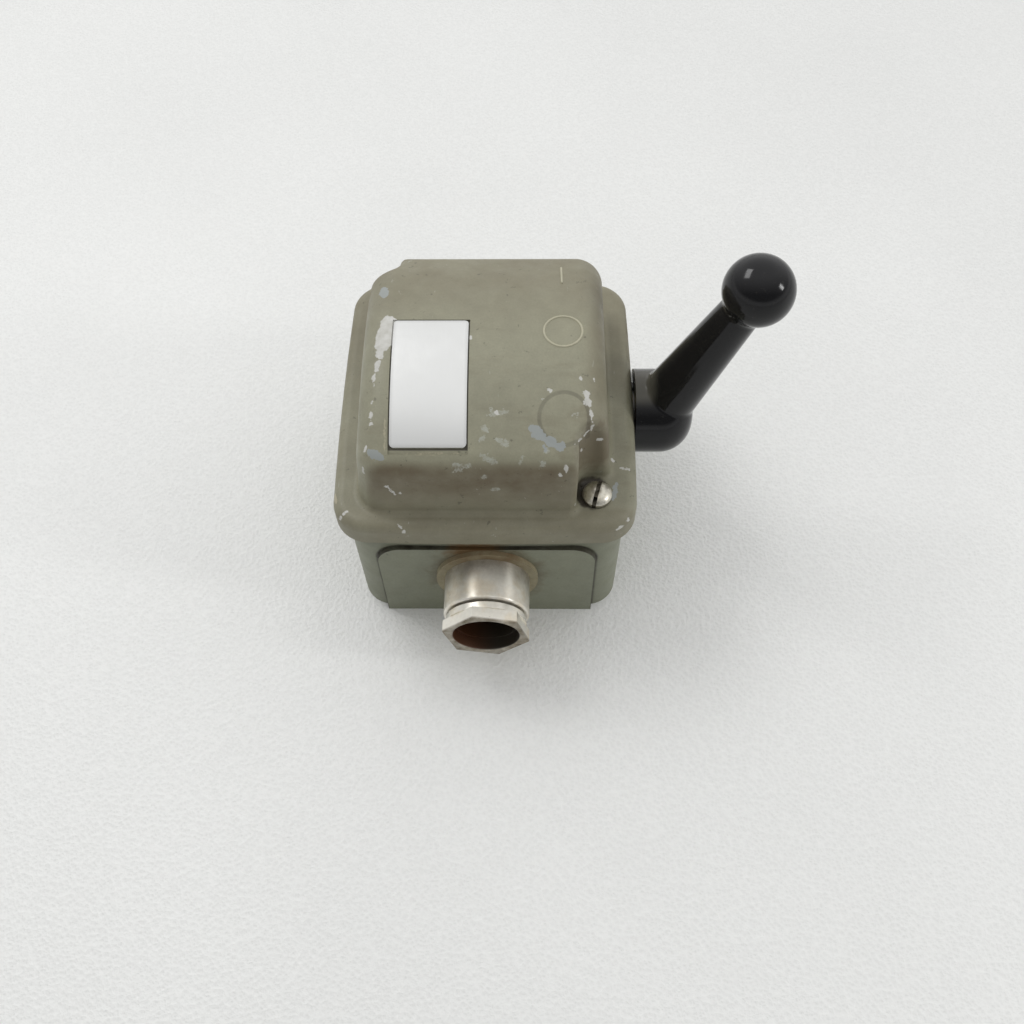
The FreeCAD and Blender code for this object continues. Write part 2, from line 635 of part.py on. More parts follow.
def bush_pockets(body):
    """One half of the split bearing: a notch for the bush and a wider one for its inner flange."""
    axis = [("axle_y", AXLE_Z)]
    sketch = circles(body, "YZ_Plane", BEYOND, "bush_radius + fit_clearance", axis)
    pocket(body, sketch, f"{BEYOND} - {BUSH_START} + bush_flange_width")
    flange_end = f"({BUSH_START} + bush_flange_width)"
    sketch = circles(body, "YZ_Plane", flange_end, "bush_flange + screw_clearance", axis)
    pocket(body, sketch, "2 * bush_flange_width")


def make_cover():
    """The cast cover: rim, crowned hood, two scoops, bearing half and nameplate recess, hollow inside."""
    shell = new_body("cover_outside")
    overlap = f"({RIM_Z} - rim_height / 2)"
    sketch = new_sketch(shell, "YZ_Plane", f"-{HOOD_X}")
    crown_outline(sketch, "0", overlap)
    pad(shell, sketch, f"2 * {HOOD_X}")
    hood_sides(shell, "0", overlap)
    hood_half = number(HOOD_X)
    foot = number(overlap)
    slack = number(f"{TOP_Z} * tan(hood_draft)")

    def along_side(edge):
        box = edge.BoundBox
        return max(abs(box.XMin), abs(box.XMax)) > hood_half - slack and box.ZMax > foot + NEAR \
            and box.XLength < slack

    round_edges(shell, along_side, "hood_round")
    pocket(shell, scoop_sketch(shell, "0", TOP_Z), f"2 * ({TOP_Z} - {overlap})")
    scoop_x = number(f"{SCREW_X} - scoop_reach")
    scoop_y = number(f"{SCREW_Y} - scoop_reach")
    hood_middle = number(HOOD_MIDDLE)

    def in_scoop(edge):
        spot = edge.BoundBox.Center
        return rises(edge) and abs(abs(spot.x) - scoop_x) < NEAR \
            and abs(abs(spot.y - hood_middle) - scoop_y) < NEAR

    round_edges(shell, in_scoop, "scoop_corner")
    corner = number("scoop_corner")

    def over_scoop(edge):
        past = [(abs(spot.x) - scoop_x, abs(spot.y - hood_middle) - scoop_y)
                for spot in edge.discretize(5) if spot.x * (spot.y - hood_middle) < 0]
        if len(past) < 5 or edge.BoundBox.ZMax < foot + NEAR:
            return False
        seam = rises(edge) and min(abs(past[2][0] - corner), abs(past[2][1] - corner)) < NEAR
        on_wall = all(abs(math.hypot(max(corner - x, 0), max(corner - y, 0)) - corner) < NEAR
                      for x, y in past)
        return on_wall and not seam

    round_edges(shell, over_scoop, "scoop_round")
    sketch = new_sketch(shell, "XY_Plane", COVER_Z)
    bulged_outline(sketch, "(case_width / 2)", "(case_length / 2)", "side_bulge")
    pad(shell, sketch, "rim_height")
    low = number(COVER_Z)
    round_edges(shell, lambda edge: rises(edge) and abs(edge.BoundBox.ZMin - low) < NEAR, "corner_radius")
    rim_top = number(RIM_Z)

    hood_front = number(f"{HOOD_MIDDLE} - {HOOD_Y}")
    hood_rear = number(f"{HOOD_MIDDLE} + {HOOD_Y}")

    def on_rim(edge):
        box = edge.BoundBox
        beside = max(abs(box.XMin), abs(box.XMax)) > hood_half + NEAR
        before = box.YMin < hood_front - NEAR
        behind = box.YMax > hood_rear + NEAR
        return level(edge, rim_top) and (beside or before or behind)

    round_edges(shell, on_rim, "rim_round")
    round_edges(shell, lambda edge: level(edge, rim_top) and not on_rim(edge), "hood_foot_round")
    pocket(shell, circles(shell, "XY_Plane", RIM_Z, "cover_screw_radius + screw_clearance", screw_places()),
           "2 * rim_height")
    bush_pockets(shell)

    hollow = new_body("cover_inside")
    roof = f"({RIM_Z} - cover_wall)"
    sketch = new_sketch(hollow, "XY_Plane", "base_height")
    bulged_outline(sketch, f"({BASE_X} - base_wall)", f"({BASE_Y} - base_wall)", "side_bulge")
    pad(hollow, sketch, f"{roof} - base_height")
    round_edges(hollow, rises, "base_corner - base_wall")
    sketch = new_sketch(hollow, "YZ_Plane", f"-({HOOD_X} - cover_wall)")
    crown_outline(sketch, "cover_wall", f"({RIM_Z} - rim_height / 2)")
    pad(hollow, sketch, f"2 * ({HOOD_X} - cover_wall)")
    hood_sides(hollow, "cover_wall", RIM_Z)
    pocket(hollow, scoop_sketch(hollow, "cover_wall", TOP_Z), f"{TOP_Z} - {roof}")
    pocket(hollow, circles(hollow, "XY_Plane", TOP_Z, "pillar_radius", screw_places()), "2 * cover_height")

    recess = new_body("plate_recess_tool")
    sketch = new_sketch(recess, "XY_Plane", f"{TOP_Z} + cover_wall")
    plate_rectangle(sketch, "plate_gap", "plate_gap_front")
    pad(recess, sketch, "cover_height", flip=True)
    sketch = new_sketch(recess, "YZ_Plane", "case_width")
    crown_outline(sketch, "plate_recess", "0")
    pocket(recess, sketch, "2 * case_width")
    return cut("cover", shell, recess, hollow)


def plate_rectangle(sketch, gap, front_gap):
    """The nameplate in plan, grown by a gap and, at its front, by a gap of its own."""
    half_x = f"(plate_width / 2 + ({gap}))"
    half_y = "(plate_length / 2)"
    rectangle(sketch, f"plate_x - {half_x}", f"plate_y - {half_y} - ({front_gap})",
              f"plate_x + {half_x}", f"plate_y + {half_y} + ({gap})")


def make_nameplate():
    """The bare sheet bent over the crown, lying in its recess."""
    body = new_body("nameplate")
    sketch = new_sketch(body, "XY_Plane", f"{TOP_Z} + cover_wall")
    plate_rectangle(sketch, "0", "0")
    pad(body, sketch, "cover_height", flip=True)
    round_edges(body, rises, "plate_corner")
    sketch = new_sketch(body, "YZ_Plane", "case_width")
    crown_outline(sketch, "plate_recess", "0")
    pocket(body, sketch, "2 * case_width")
    sketch = new_sketch(body, "YZ_Plane", "case_width")
    rectangle(sketch, "-case_length", "-case_length", "case_length", "2 * case_length")
    crown_outline(sketch, "plate_recess - plate_thickness", "0")
    pocket(body, sketch, "2 * case_width")
    return body


def make_gasket():
    """The flat ring between base and cover, cut for the bush and the cover screws."""
    body = new_body("cover_gasket")
    sketch = new_sketch(body, "XY_Plane", "base_height")
    inset = "fit_clearance"
    bulged_outline(sketch, f"({BASE_X} - {inset})", f"({BASE_Y} - {inset})", "side_bulge")
    pad(body, sketch, "gasket_thickness")
    round_edges(body, rises, "base_corner")
    sketch = new_sketch(body, "XY_Plane", COVER_Z)
    bulged_outline(sketch, f"({BASE_X} - gasket_width)", f"({BASE_Y} - gasket_width)", "side_bulge")
    pocket(body, sketch, "2 * gasket_thickness")
    outer = number(f"{BASE_X} - base_corner")
    edge_x = number(f"{BASE_X} - gasket_width / 2")
    round_edges(
        body,
        lambda edge: rises(edge) and outer < abs(edge.BoundBox.Center.x) < edge_x
        and abs(edge.BoundBox.Center.y) > outer and edge.BoundBox.XLength < TINY
        and edge.BoundBox.DiagonalLength < 2 * number("gasket_thickness")
        and abs(abs(edge.BoundBox.Center.x) - number(f"{BASE_X} - gasket_width - side_bulge")) < NEAR,
        "base_corner - gasket_width",
    )
    pillars(body, COVER_Z, "gasket_thickness")
    pocket(body, circles(body, "XY_Plane", COVER_Z, "cover_screw_radius + screw_clearance", screw_places()),
           "2 * gasket_thickness")
    sketch = circles(body, "YZ_Plane", BEYOND, "bush_radius + fit_clearance", [("axle_y", AXLE_Z)])
    pocket(body, sketch, f"{BEYOND} - {BUSH_START}")
    return body


def make_screw(label, shank, length, head, head_height, slot):
    """One slotted pan head screw standing on its own origin, shank down."""
    body = new_body(label)
    sketch = new_sketch(body, "XZ_Plane")
    outline(
        sketch,
        ("0", f"-({length})"),
        (shank, f"-({length})"),
        (shank, "0"),
        (head, "0"),
        (head, f"0.45 * ({head_height})"),
        ("0", head_height, f"0.72 * ({head})", f"0.87 * ({head_height})"),
    )
    revolve(body, sketch, "V_Axis")
    sketch = new_sketch(body, "XY_Plane", head_height)
    rectangle(sketch, f"-({slot}) / 2", f"-2 * ({head})", f"({slot}) / 2", f"2 * ({head})")
    pocket(body, sketch, f"0.5 * ({head_height})")
    return body


def group(label, source, places):
    """Copies of one solid in a single node, each at its own place."""
    doc.recompute()
    copies = []
    for place in places:
        copy = source.Shape.copy()
        copy.Placement = place.multiply(copy.Placement)
        copies.append(copy)
    node = doc.addObject("Part::Feature", label)
    node.Label = label
    node.Shape = Part.makeCompound(copies)
    node.Placement = Placement()
    return node


def at(x, y, z, axis=Vector(0, 0, 1), angle=0):
    """A placement from three expressions and a turn."""
    return Placement(Vector(number(x), number(y), number(z)), Rotation(axis, angle))


def make_cover_screws():
    """The two screws that hold the cover, standing in their scoops."""
    screw = make_screw("cover_screw", "cover_screw_radius", "cover_screw_length", "cover_screw_head",
                       "cover_head_height", "0.28 * cover_screw_head")
    slot_turns = (-15, -70)
    places = [at(x, y, RIM_Z, angle=turn) for (x, y), turn in zip(screw_places(), slot_turns)]
    return group("cover_screws", screw, places)


def ring(label, plane, outside, inside, offset, length, x="0", y="0"):
    """A plain ring or washer."""
    body = new_body(label)
    sketch = new_sketch(body, plane, offset)
    circle(sketch, outside, x, y)
    circle(sketch, inside, x, y)
    pad(body, sketch, length)
    return body


def make_gland():
    """The cable gland: washer, body, rubber seal, thrust ring, pressure nut and locknut."""
    washer_start = PANEL_Y
    washer = ring("gland_washer", "XZ_Plane", "gland_washer_radius", "gland_thread_radius + screw_clearance",
                  washer_start, "gland_washer_thickness", y="gland_height")

    socket = new_body("gland_body", z="gland_height")
    wall_inside = f"({BASE_Y} - base_wall - base_height * tan(base_draft))"
    shank_end = f"({wall_inside} - locknut_height - locknut_proud)"
    seat = f"({PANEL_Y} + gland_washer_thickness)"
    sketch = new_sketch(socket, "XY_Plane")
    outline(
        sketch,
        ("gland_bore", f"-{shank_end}"),
        ("gland_bore", f"-{GLAND_SEAT}"),
        ("gland_well", f"-{GLAND_SEAT}"),
        ("gland_well", f"-{GLAND_FRONT}"),
        ("gland_radius", f"-{GLAND_FRONT}"),
        ("gland_radius", f"-{seat}"),
        ("gland_thread_radius", f"-{seat}"),
        ("gland_thread_radius", f"-{shank_end}"),
    )
    revolve(socket, sketch, "V_Axis")
    round_edges(socket, lambda edge: rim_edge(edge, GLAND_FRONT, "gland_radius"), "gland_lip_round")

    seal_front = f"({GLAND_SEAT} + seal_length)"
    seal = ring("gland_seal", "XZ_Plane", "seal_radius", "seal_bore", GLAND_SEAT, "seal_length",
                y="gland_height")
    nut_inner = f"({GLAND_FRONT} - nut_shank_length)"
    thrust = ring("gland_thrust_ring", "XZ_Plane", "seal_radius", "gland_bore", seal_front,
                  f"{nut_inner} - {seal_front}", y="gland_height")

    nut = new_body("gland_nut", z="gland_height")
    collar_back = f"({GLAND_FRONT} + nut_gap)"
    hex_back = f"({collar_back} + nut_collar_length)"
    sketch = new_sketch(nut, "XZ_Plane", hex_back)
    hexagon(sketch, "nut_flats", turn="nut_turn")
    pad(nut, sketch, "nut_hex_length")
    sketch = new_sketch(nut, "XZ_Plane", collar_back)
    circle(sketch, "nut_collar_radius")
    pad(nut, sketch, "nut_collar_length")
    sketch = new_sketch(nut, "XZ_Plane", nut_inner)
    circle(sketch, "gland_well - fit_clearance")
    pad(nut, sketch, "nut_shank_length + nut_gap")
    sketch = new_sketch(nut, "XZ_Plane", f"{hex_back} + nut_hex_length")
    circle(sketch, "nut_bore")
    pocket(nut, sketch, f"nut_hex_length + nut_collar_length + nut_gap + nut_shank_length")
    sketch = new_sketch(nut, "XZ_Plane", f"{hex_back} + nut_hex_length")
    circle(sketch, "nut_mouth")
    pocket(nut, sketch, "nut_hex_length")
    round_edges(nut, lambda edge: rim_edge(edge, f"{hex_back} + nut_hex_length", "nut_mouth"),
                "nut_mouth_round")

    locknut = new_body("gland_locknut", z="gland_height")
    sketch = new_sketch(locknut, "XZ_Plane", f"{wall_inside} - locknut_height")
    hexagon(sketch, "locknut_flats")
    circle(sketch, "gland_thread_radius + fit_clearance")
    pad(locknut, sketch, "locknut_height")
    return [washer, socket, seal, thrust, nut, locknut]


def make_lever():
    """The moulded lever: rounded hub, tapering arm that leans out, and ball."""
    hub = new_body("lever_hub", y="axle_y", z=AXLE_Z)
    end = f"({HUB_START} + hub_length)"
    sketch = new_sketch(hub, "XZ_Plane")
    diagonal = "sqrt(0.5)"
    outline(
        sketch,
        (HUB_START, "0"),
        (HUB_START, "hub_radius"),
        (f"{end} - hub_round", "hub_radius"),
        (end, "hub_radius - hub_round", f"{end} - hub_round * (1 - {diagonal})",
         f"hub_radius - hub_round * (1 - {diagonal})"),
        (end, "0"),
    )
    feature = revolve(hub, sketch, "H_Axis")
    start = f"({HUB_START} + arm_start)"
    span = "sqrt(arm_rise ^ 2 + arm_lean ^ 2)"
    neck = f"({span} - sqrt(ball_radius ^ 2 - arm_tip_radius ^ 2))"
    arm = new_body("lever_arm", x=start, y="axle_y", z=AXLE_Z)
    arm.Placement.Rotation = Rotation(Vector(0, 1, 0), 1)
    bind(arm, "Placement.Rotation.Angle", "atan(arm_lean / arm_rise)")
    sketch = new_sketch(arm, "XZ_Plane")
    outline(
        sketch,
        ("0", "0"),
        ("arm_root_radius", "0"),
        ("arm_tip_radius", neck),
        ("0", f"{span} + ball_radius", "ball_radius", span),
    )
    revolve(arm, sketch, "V_Axis")
    neck_height = number(neck)
    round_edges(arm, lambda edge: level(edge, neck_height), "neck_round")
    doc.recompute()
    joined = doc.addObject("Part::Fuse", "lever_joined")
    joined.Base = hub
    joined.Tool = arm
    doc.recompute()
    blended = doc.addObject("Part::Fillet", "lever_blended")
    blended.Base = joined
    blend = number("arm_blend")
    root = [index for index, edge in enumerate(joined.Shape.Edges, 1)
            if not edge.Degenerated and not isinstance(edge.Curve, (Part.Line, Part.Circle))]
    blended.Edges = [(index, blend, blend) for index in root]

    bore = new_body("lever_bore", y="axle_y", z=AXLE_Z)
    sketch = new_sketch(bore, "YZ_Plane", f"{HUB_START} - hub_gap")
    circle(sketch, "axle_radius + fit_clearance")
    pad(bore, sketch, f"{AXLE_END} - {HUB_START} + 2 * hub_gap")
    sketch = new_sketch(bore, "YZ_Plane", f"{HUB_START} - hub_gap")
    circle(sketch, "axle_radius + felt_width + fit_clearance")
    pad(bore, sketch, "hub_gap + felt_width + fit_clearance")
    sketch = new_sketch(bore, "XY_Plane")
    circle(sketch, "set_screw_radius + fit_clearance", f"{HUB_START} + arm_start")
    pad(bore, sketch, "2 * hub_radius", flip=True)
    sketch = new_sketch(bore, "YZ_Plane", f"{HUB_START} - arm_root_radius")
    circle(sketch, "2 * hub_radius")
    pad(bore, sketch, "arm_root_radius")
    return cut("lever", blended, bore)


def make_set_screw():
    """The slotted set screw that clamps the hub to the axle, from below."""
    body = new_body("lever_set_screw", x=f"({HUB_START} + arm_start)", y="axle_y", z=AXLE_Z)
    length = "(hub_radius - axle_radius - 3 * fit_clearance)"
    sketch = new_sketch(body, "XY_Plane", "-axle_radius - fit_clearance")
    circle(sketch, "set_screw_radius")
    pad(body, sketch, length, flip=True)
    sketch = new_sketch(body, "XY_Plane", f"-axle_radius - fit_clearance - {length}")
    rectangle(sketch, "-set_screw_radius * 2", "-set_screw_radius / 5", "set_screw_radius * 2",
              "set_screw_radius / 5")
    pocket(body, sketch, "set_screw_radius / 2", flip=True)
    return body


def bars(label, pieces):
    """A turned or squared bar along the axle: each piece is a sketch function and its two ends."""
    body = new_body(label, y="axle_y", z=AXLE_Z)
    for draw, start, end in pieces:
        sketch = new_sketch(body, "YZ_Plane", start)
        draw(sketch)
        pad(body, sketch, f"{end} - ({start})")
    return body


def make_axle():
    """The axle: journal, square for the cams and the wheel, and a round end for bush and lever."""
    half = "axle_square / 2"
    square_start = f"({STACK_START} + fit_clearance)"
    square_end = f"({WHEEL_START} + wheel_width + fit_clearance)"
    journal_end = f"({STACK_START} - plate_sheet - 4 * plate_sheet)"
    body = bars("axle", (
        (lambda sketch: circle(sketch, "journal_radius"), journal_end, square_start),
        (lambda sketch: rectangle(sketch, f"-{half}", f"-{half}", half, half), square_start, square_end),
        (lambda sketch: circle(sketch, "axle_radius"), square_end, f"({AXLE_END} - hub_gap)"),
    ))
    groove = f"({STACK_START} - 2 * plate_sheet + plate_sheet / 2)"
    sketch = new_sketch(body, "YZ_Plane", groove)
    circle(sketch, "journal_radius * 2")
    circle(sketch, "journal_radius * 0.75")
    pocket(body, sketch, "plate_sheet")
    clip_start = f"({groove} - plate_sheet + fit_clearance)"
    clip = bars("axle_clip", ((lambda sketch: clip_outline(sketch), clip_start,
                               f"({groove} - fit_clearance)"),))
    return [body, clip]


def clip_outline(sketch):
    """An open retaining ring."""
    outside = "(journal_radius * 1.9)"
    inside = "(journal_radius * 0.75 + fit_clearance)"
    gap = "(journal_radius * 0.5)"
    outer_z = f"-sqrt({outside} ^ 2 - {gap} ^ 2)"
    inner_z = f"-sqrt({inside} ^ 2 - {gap} ^ 2)"
    outline(
        sketch,
        (f"-{gap}", outer_z, "0", outside),
        (f"-{gap}", inner_z),
        (gap, inner_z, "0", inside),
        (gap, outer_z),
    )


def make_bearing():
    """The flanged bush in the split bearing, and the felt ring inside the hub gap."""
    bush = new_body("axle_bush", y="axle_y", z=AXLE_Z)
    sketch = new_sketch(bush, "XZ_Plane")
    bore = "(axle_radius + fit_clearance)"
    flange_end = f"({BUSH_START} + bush_flange_width)"
    outline(
        sketch,
        (BUSH_START, bore),
        (BUSH_END, bore),
        (BUSH_END, "bush_radius"),
        (flange_end, "bush_radius"),
        (flange_end, "bush_flange"),
        (BUSH_START, "bush_flange"),
    )
    revolve(bush, sketch, "H_Axis")
    return bush


def make_felt():
    """The felt ring on the axle, in a recess of the hub against the bush."""
    return bars("axle_felt", ((felt_ring, BUSH_END, f"({HUB_START} + felt_width)"),))


def felt_ring(sketch):
    """The felt ring in end view."""
    circle(sketch, "axle_radius + felt_width")
    circle(sketch, "axle_radius + fit_clearance")


def deck_start(deck):
    """The left face of one contact deck."""
    return f"({STACK_START} + {deck - 1} * {DECK_THICKNESS})"


def chamber_middle(deck):
    """The middle of one deck's contact chamber along the axle."""
    return f"({deck_start(deck)} + ({DECK_THICKNESS} + deck_web) / 2)"


def rod_places():
    """The two tie rods, seen along the axle."""
    return ((f"-{ROD_Y}", "rod_z"), (ROD_Y, "rod_z"))


def make_deck(deck):
    """One moulded deck: cam well, plunger guide, contact chamber, spring well and terminal slots."""
    body = new_body(f"contact_deck_{deck}", y="axle_y", z=AXLE_Z)
    start = deck_start(deck)
    face = f"({start} + {DECK_THICKNESS})"
    depth = f"{DECK_THICKNESS} - deck_web"
    sketch = new_sketch(body, "YZ_Plane", start)
    rectangle(sketch, f"-{DECK_HALF_WIDTH}", "-deck_drop", DECK_HALF_WIDTH, "deck_rise")
    pad(body, sketch, DECK_THICKNESS)
    round_edges(body, lambda edge: edge.BoundBox.XLength > number(DECK_THICKNESS) / 2, "deck_corner")
    sketch = new_sketch(body, "YZ_Plane", face)
    circle(sketch, "cam_high + cam_room")
    pocket(body, sketch, depth)
    guide = "(plunger_width / 2 + plunger_play)"
    well = "(spring_radius + spring_wire + plunger_play)"
    strip_depth = f"({DECK_THICKNESS} + deck_web) / 2 - deck_web + strip_width / 2 + fit_clearance"
    for left, low, right, high, reach in (
        (f"-{guide}", STRIP_TOP, guide, "0", depth),
        (f"-{CHAMBER_HALF_WIDTH}", f"{BRIDGE_Z} - bridge_thickness - contact_gap", CHAMBER_HALF_WIDTH,
         f"{STRIP_TOP} + fit_clearance", depth),
        (f"-{well}", SPRING_FLOOR, well, BRIDGE_Z, depth),
        (f"-2 * {DECK_HALF_WIDTH}", STRIP_Z, f"2 * {DECK_HALF_WIDTH}", f"{STRIP_TOP} + fit_clearance",
         strip_depth),
    ):
        sketch = new_sketch(body, "YZ_Plane", face)
        rectangle(sketch, left, low, right, high)
        pocket(body, sketch, reach)
    sketch = new_sketch(body, "YZ_Plane", face)
    circle(sketch, "axle_square")
    for y, z in rod_places():
        circle(sketch, "rod_radius + screw_clearance", y, z)
    pocket(body, sketch, f"2 * {DECK_THICKNESS}")
    return body


def cam_point(radius, angle):
    """A point of the cam, at an angle from straight down towards the rear."""
    return f"({radius}) * sin({angle})", f"-({radius}) * cos({angle})"


def square_hole(sketch):
    """The square that drives a piece on the axle."""
    half = "(axle_square / 2 + fit_clearance)"
    rectangle(sketch, f"-{half}", f"-{half}", half, half)


def cam_outline(sketch):
    """High dwell, a fall over the lever's throw, low dwell and a rise back."""
    low = "cam_high - cam_lift"
    middle = "cam_high - cam_lift / 2"
    outline(
        sketch,
        cam_point("cam_high", "0") + cam_point("cam_high", "330"),
        cam_point(low, "lever_throw") + cam_point(middle, "lever_throw / 2"),
        cam_point(low, "300 - lever_throw") + cam_point(low, "150"),
        cam_point("cam_high", "300") + cam_point(middle, "300 - lever_throw / 2"),
    )
    square_hole(sketch)


def make_cam(deck):
    """The moulded cam of one deck."""
    middle = chamber_middle(deck)
    half = f"(({DECK_THICKNESS} - deck_web) / 2 - cam_side_play)"
    return bars(f"cam_{deck}", ((cam_outline, f"({middle} - {half})", f"({middle} + {half})"),))


def plunger_outline(sketch):
    """A plunger with a full round nose, seen along the axle."""
    half = "(plunger_width / 2)"
    outline(
        sketch,
        (f"-{half}", BRIDGE_Z),
        (half, BRIDGE_Z),
        (half, f"{NOSE_Z} - {half}"),
        (f"-{half}", f"{NOSE_Z} - {half}", "0", NOSE_Z),
    )


def make_plunger(deck):
    """The plunger that follows one cam, with the stem that carries bridge and spring."""
    middle = chamber_middle(deck)
    half = f"(({DECK_THICKNESS} - deck_web) / 2 - plunger_play)"
    body = bars(f"plunger_{deck}", ((plunger_outline, f"({middle} - {half})", f"({middle} + {half})"),))
    sketch = new_sketch(body, "XY_Plane", f"{BRIDGE_Z} - stem_length")
    circle(sketch, "stem_radius", middle)
    pad(body, sketch, "stem_length")
    return body


def make_bridge(deck):
    """The moving contact: a strip on the plunger's stem, with a tip at each end."""
    body = new_body(f"contact_bridge_{deck}", y="axle_y", z=AXLE_Z)
    middle = chamber_middle(deck)
    half = "bridge_width / 2"
    sketch = new_sketch(body, "XY_Plane", f"{BRIDGE_Z} - bridge_thickness")
    reach = f"({CHAMBER_HALF_WIDTH} - bridge_play)"
    rectangle(sketch, f"{middle} - {half}", f"-{reach}", f"{middle} + {half}", reach)
    circle(sketch, "stem_radius + fit_clearance", middle)
    pad(body, sketch, "bridge_thickness")
    return body


def make_spring(deck):
    """The coil spring under one bridge."""
    body = new_body(f"contact_spring_{deck}", x=chamber_middle(deck), y="axle_y",
                    z=f"{AXLE_Z} + {SPRING_FLOOR}")
    sketch = new_sketch(body, "XZ_Plane")
    half = "(0.9 * spring_wire)"
    rectangle(sketch, f"spring_radius - {half}", "fit_clearance", f"spring_radius + {half}",
              f"fit_clearance + 2 * {half}")
    coil = body.newObject("PartDesign::AdditiveHelix", body.Label + "_coil")
    coil.Profile = sketch
    coil.ReferenceAxis = (sketch, ["V_Axis"])
    coil.Mode = "height-turns-angle"
    bind(coil, "Height", f"spring_length - 2 * {half} - 2 * fit_clearance")
    bind(coil, "Turns", "spring_turns")
    return body


def make_fixed_contact(deck, name, sign):
    """One fixed contact: a strip out of the deck to its terminal, with a tip over the bridge."""
    body = new_body(f"fixed_contact_{deck}_{name}", y="axle_y", z=AXLE_Z)
    middle = chamber_middle(deck)
    half = "strip_width / 2"
    near = f"{sign} * {STRIP_INNER}"
    far = f"{sign} * {STRIP_END}"
    low, high = (far, near) if sign < 0 else (near, far)
    sketch = new_sketch(body, "XY_Plane", STRIP_Z)
    rectangle(sketch, f"{middle} - {half}", low, f"{middle} + {half}", high)
    terminal_y = f"{sign} * ({STRIP_END} - terminal_inset)"
    circle(sketch, "terminal_screw_radius + fit_clearance", middle, terminal_y)
    pad(body, sketch, "strip_thickness")
    sketch = new_sketch(body, "XY_Plane", TIP_Z)
    circle(sketch, "tip_radius", middle, f"{sign} * {TIP_REACH}")
    pad(body, sketch, "tip_height")
    return body


def make_terminal_screws():
    """Six terminal screws, one at the outer end of each fixed contact."""
    screw = make_screw("terminal_screw", "terminal_screw_radius", "terminal_screw_length",
                       "terminal_head_radius", "terminal_head_height", "0.3 * terminal_head_radius")
    places = []
    for deck in DECKS:
        for name, sign in SIDES:
            y = f"axle_y + {sign} * ({STRIP_END} - terminal_inset)"
            places.append(at(chamber_middle(deck), y, f"{AXLE_Z} + {STRIP_TOP}", angle=30 * deck))
    return group("terminal_screws", screw, places)


def make_frame_plate(label, start, end, foot_sign, hole, small_holes=()):
    """One bent steel plate of the frame, with the foot that is screwed to the base."""
    body = new_body(label, y="axle_y", z=AXLE_Z)
    foot_low = f"(base_floor + foot_height - {AXLE_Z})"
    sketch = new_sketch(body, "YZ_Plane", start)
    rectangle(sketch, f"-{DECK_HALF_WIDTH}", foot_low, DECK_HALF_WIDTH, "deck_rise")
    circle(sketch, hole)
    for y, z in rod_places():
        circle(sketch, "rod_radius + screw_clearance", y, z)
    for radius, y, z in small_holes:
        circle(sketch, f"{radius} + fit_clearance", y, z)
    pad(body, sketch, "plate_sheet")
    top = number("deck_rise")
    round_edges(
        body,
        lambda edge: edge.BoundBox.XLength > number("plate_sheet") / 2 and level(edge, top),
        "deck_corner",
    )
    edge_x = start if foot_sign < 0 else end
    tip = f"({edge_x} + {foot_sign} * foot_length)"
    low, high = (tip, end) if foot_sign < 0 else (start, tip)
    half = "(foot_screw_spacing / 2 + foot_boss_radius)"
    middle = f"({edge_x} + {foot_sign} * foot_length / 2)"
    sketch = new_sketch(body, "XY_Plane", foot_low)
    rectangle(sketch, low, f"-{half}", high, half)
    for sign in ("", "-"):
        circle(sketch, "foot_screw_radius + screw_clearance", middle, f"{sign}foot_screw_spacing / 2")
    pad(body, sketch, "plate_sheet")
    return body


def make_frame():
    """The frame of the switch: two plates, a barrier, tie rods, nuts and foot screws."""
    left_start = f"({STACK_START} - plate_sheet)"
    left = make_frame_plate("frame_plate_left", left_start, STACK_START, -1,
                            "journal_radius + fit_clearance")
    small_holes = [("stop_radius", *place) for place in stop_places()]
    small_holes.append(("leaf_screw_radius", LEAF_SCREW_Y, LEAF_SCREW_Z))
    right = make_frame_plate("frame_plate_right", PLATE_START, PLATE_END, 1, "axle_square", small_holes)
    barrier = new_body("deck_barrier", y="axle_y", z=AXLE_Z)
    sketch = new_sketch(barrier, "YZ_Plane", STACK_END)
    rectangle(sketch, f"-{DECK_HALF_WIDTH}", "-deck_drop", DECK_HALF_WIDTH, "deck_rise")
    circle(sketch, "axle_square")
    for y, z in rod_places():
        circle(sketch, "rod_radius + screw_clearance", y, z)
    pad(barrier, sketch, "barrier_thickness")
    overhang = "(rod_nut_height + rod_proud)"
    rod = new_body("tie_rod")
    sketch = new_sketch(rod, "YZ_Plane", f"{left_start} - {overhang}")
    circle(sketch, "rod_radius")
    pad(rod, sketch, f"{PLATE_END} - {left_start} + 2 * {overhang}")
    nut = new_body("tie_nut")
    sketch = new_sketch(nut, "YZ_Plane")
    hexagon(sketch, "rod_nut_width")
    circle(sketch, "rod_radius + fit_clearance")
    pad(nut, sketch, "rod_nut_height")
    spots = [(f"axle_y + {y}", f"{AXLE_Z} + {z}") for y, z in rod_places()]
    rods = group("tie_rods", rod, [at("0", y, z) for y, z in spots])
    nut_starts = (f"{left_start} - rod_nut_height", PLATE_END)
    nuts = group("tie_rod_nuts", nut, [at(x, y, z) for x in nut_starts for y, z in spots])
    screw = make_screw("foot_screw", "foot_screw_radius", "foot_height + plate_sheet / 2",
                       "1.9 * foot_screw_radius", "1.2 * foot_screw_radius", "0.5 * foot_screw_radius")
    foot_top = "base_floor + foot_height + plate_sheet"
    places = [at(x, y, foot_top, angle=40 * index) for index, (x, y) in enumerate(foot_places())]
    return [left, right, barrier, rods, nuts, group("frame_screws", screw, places)]


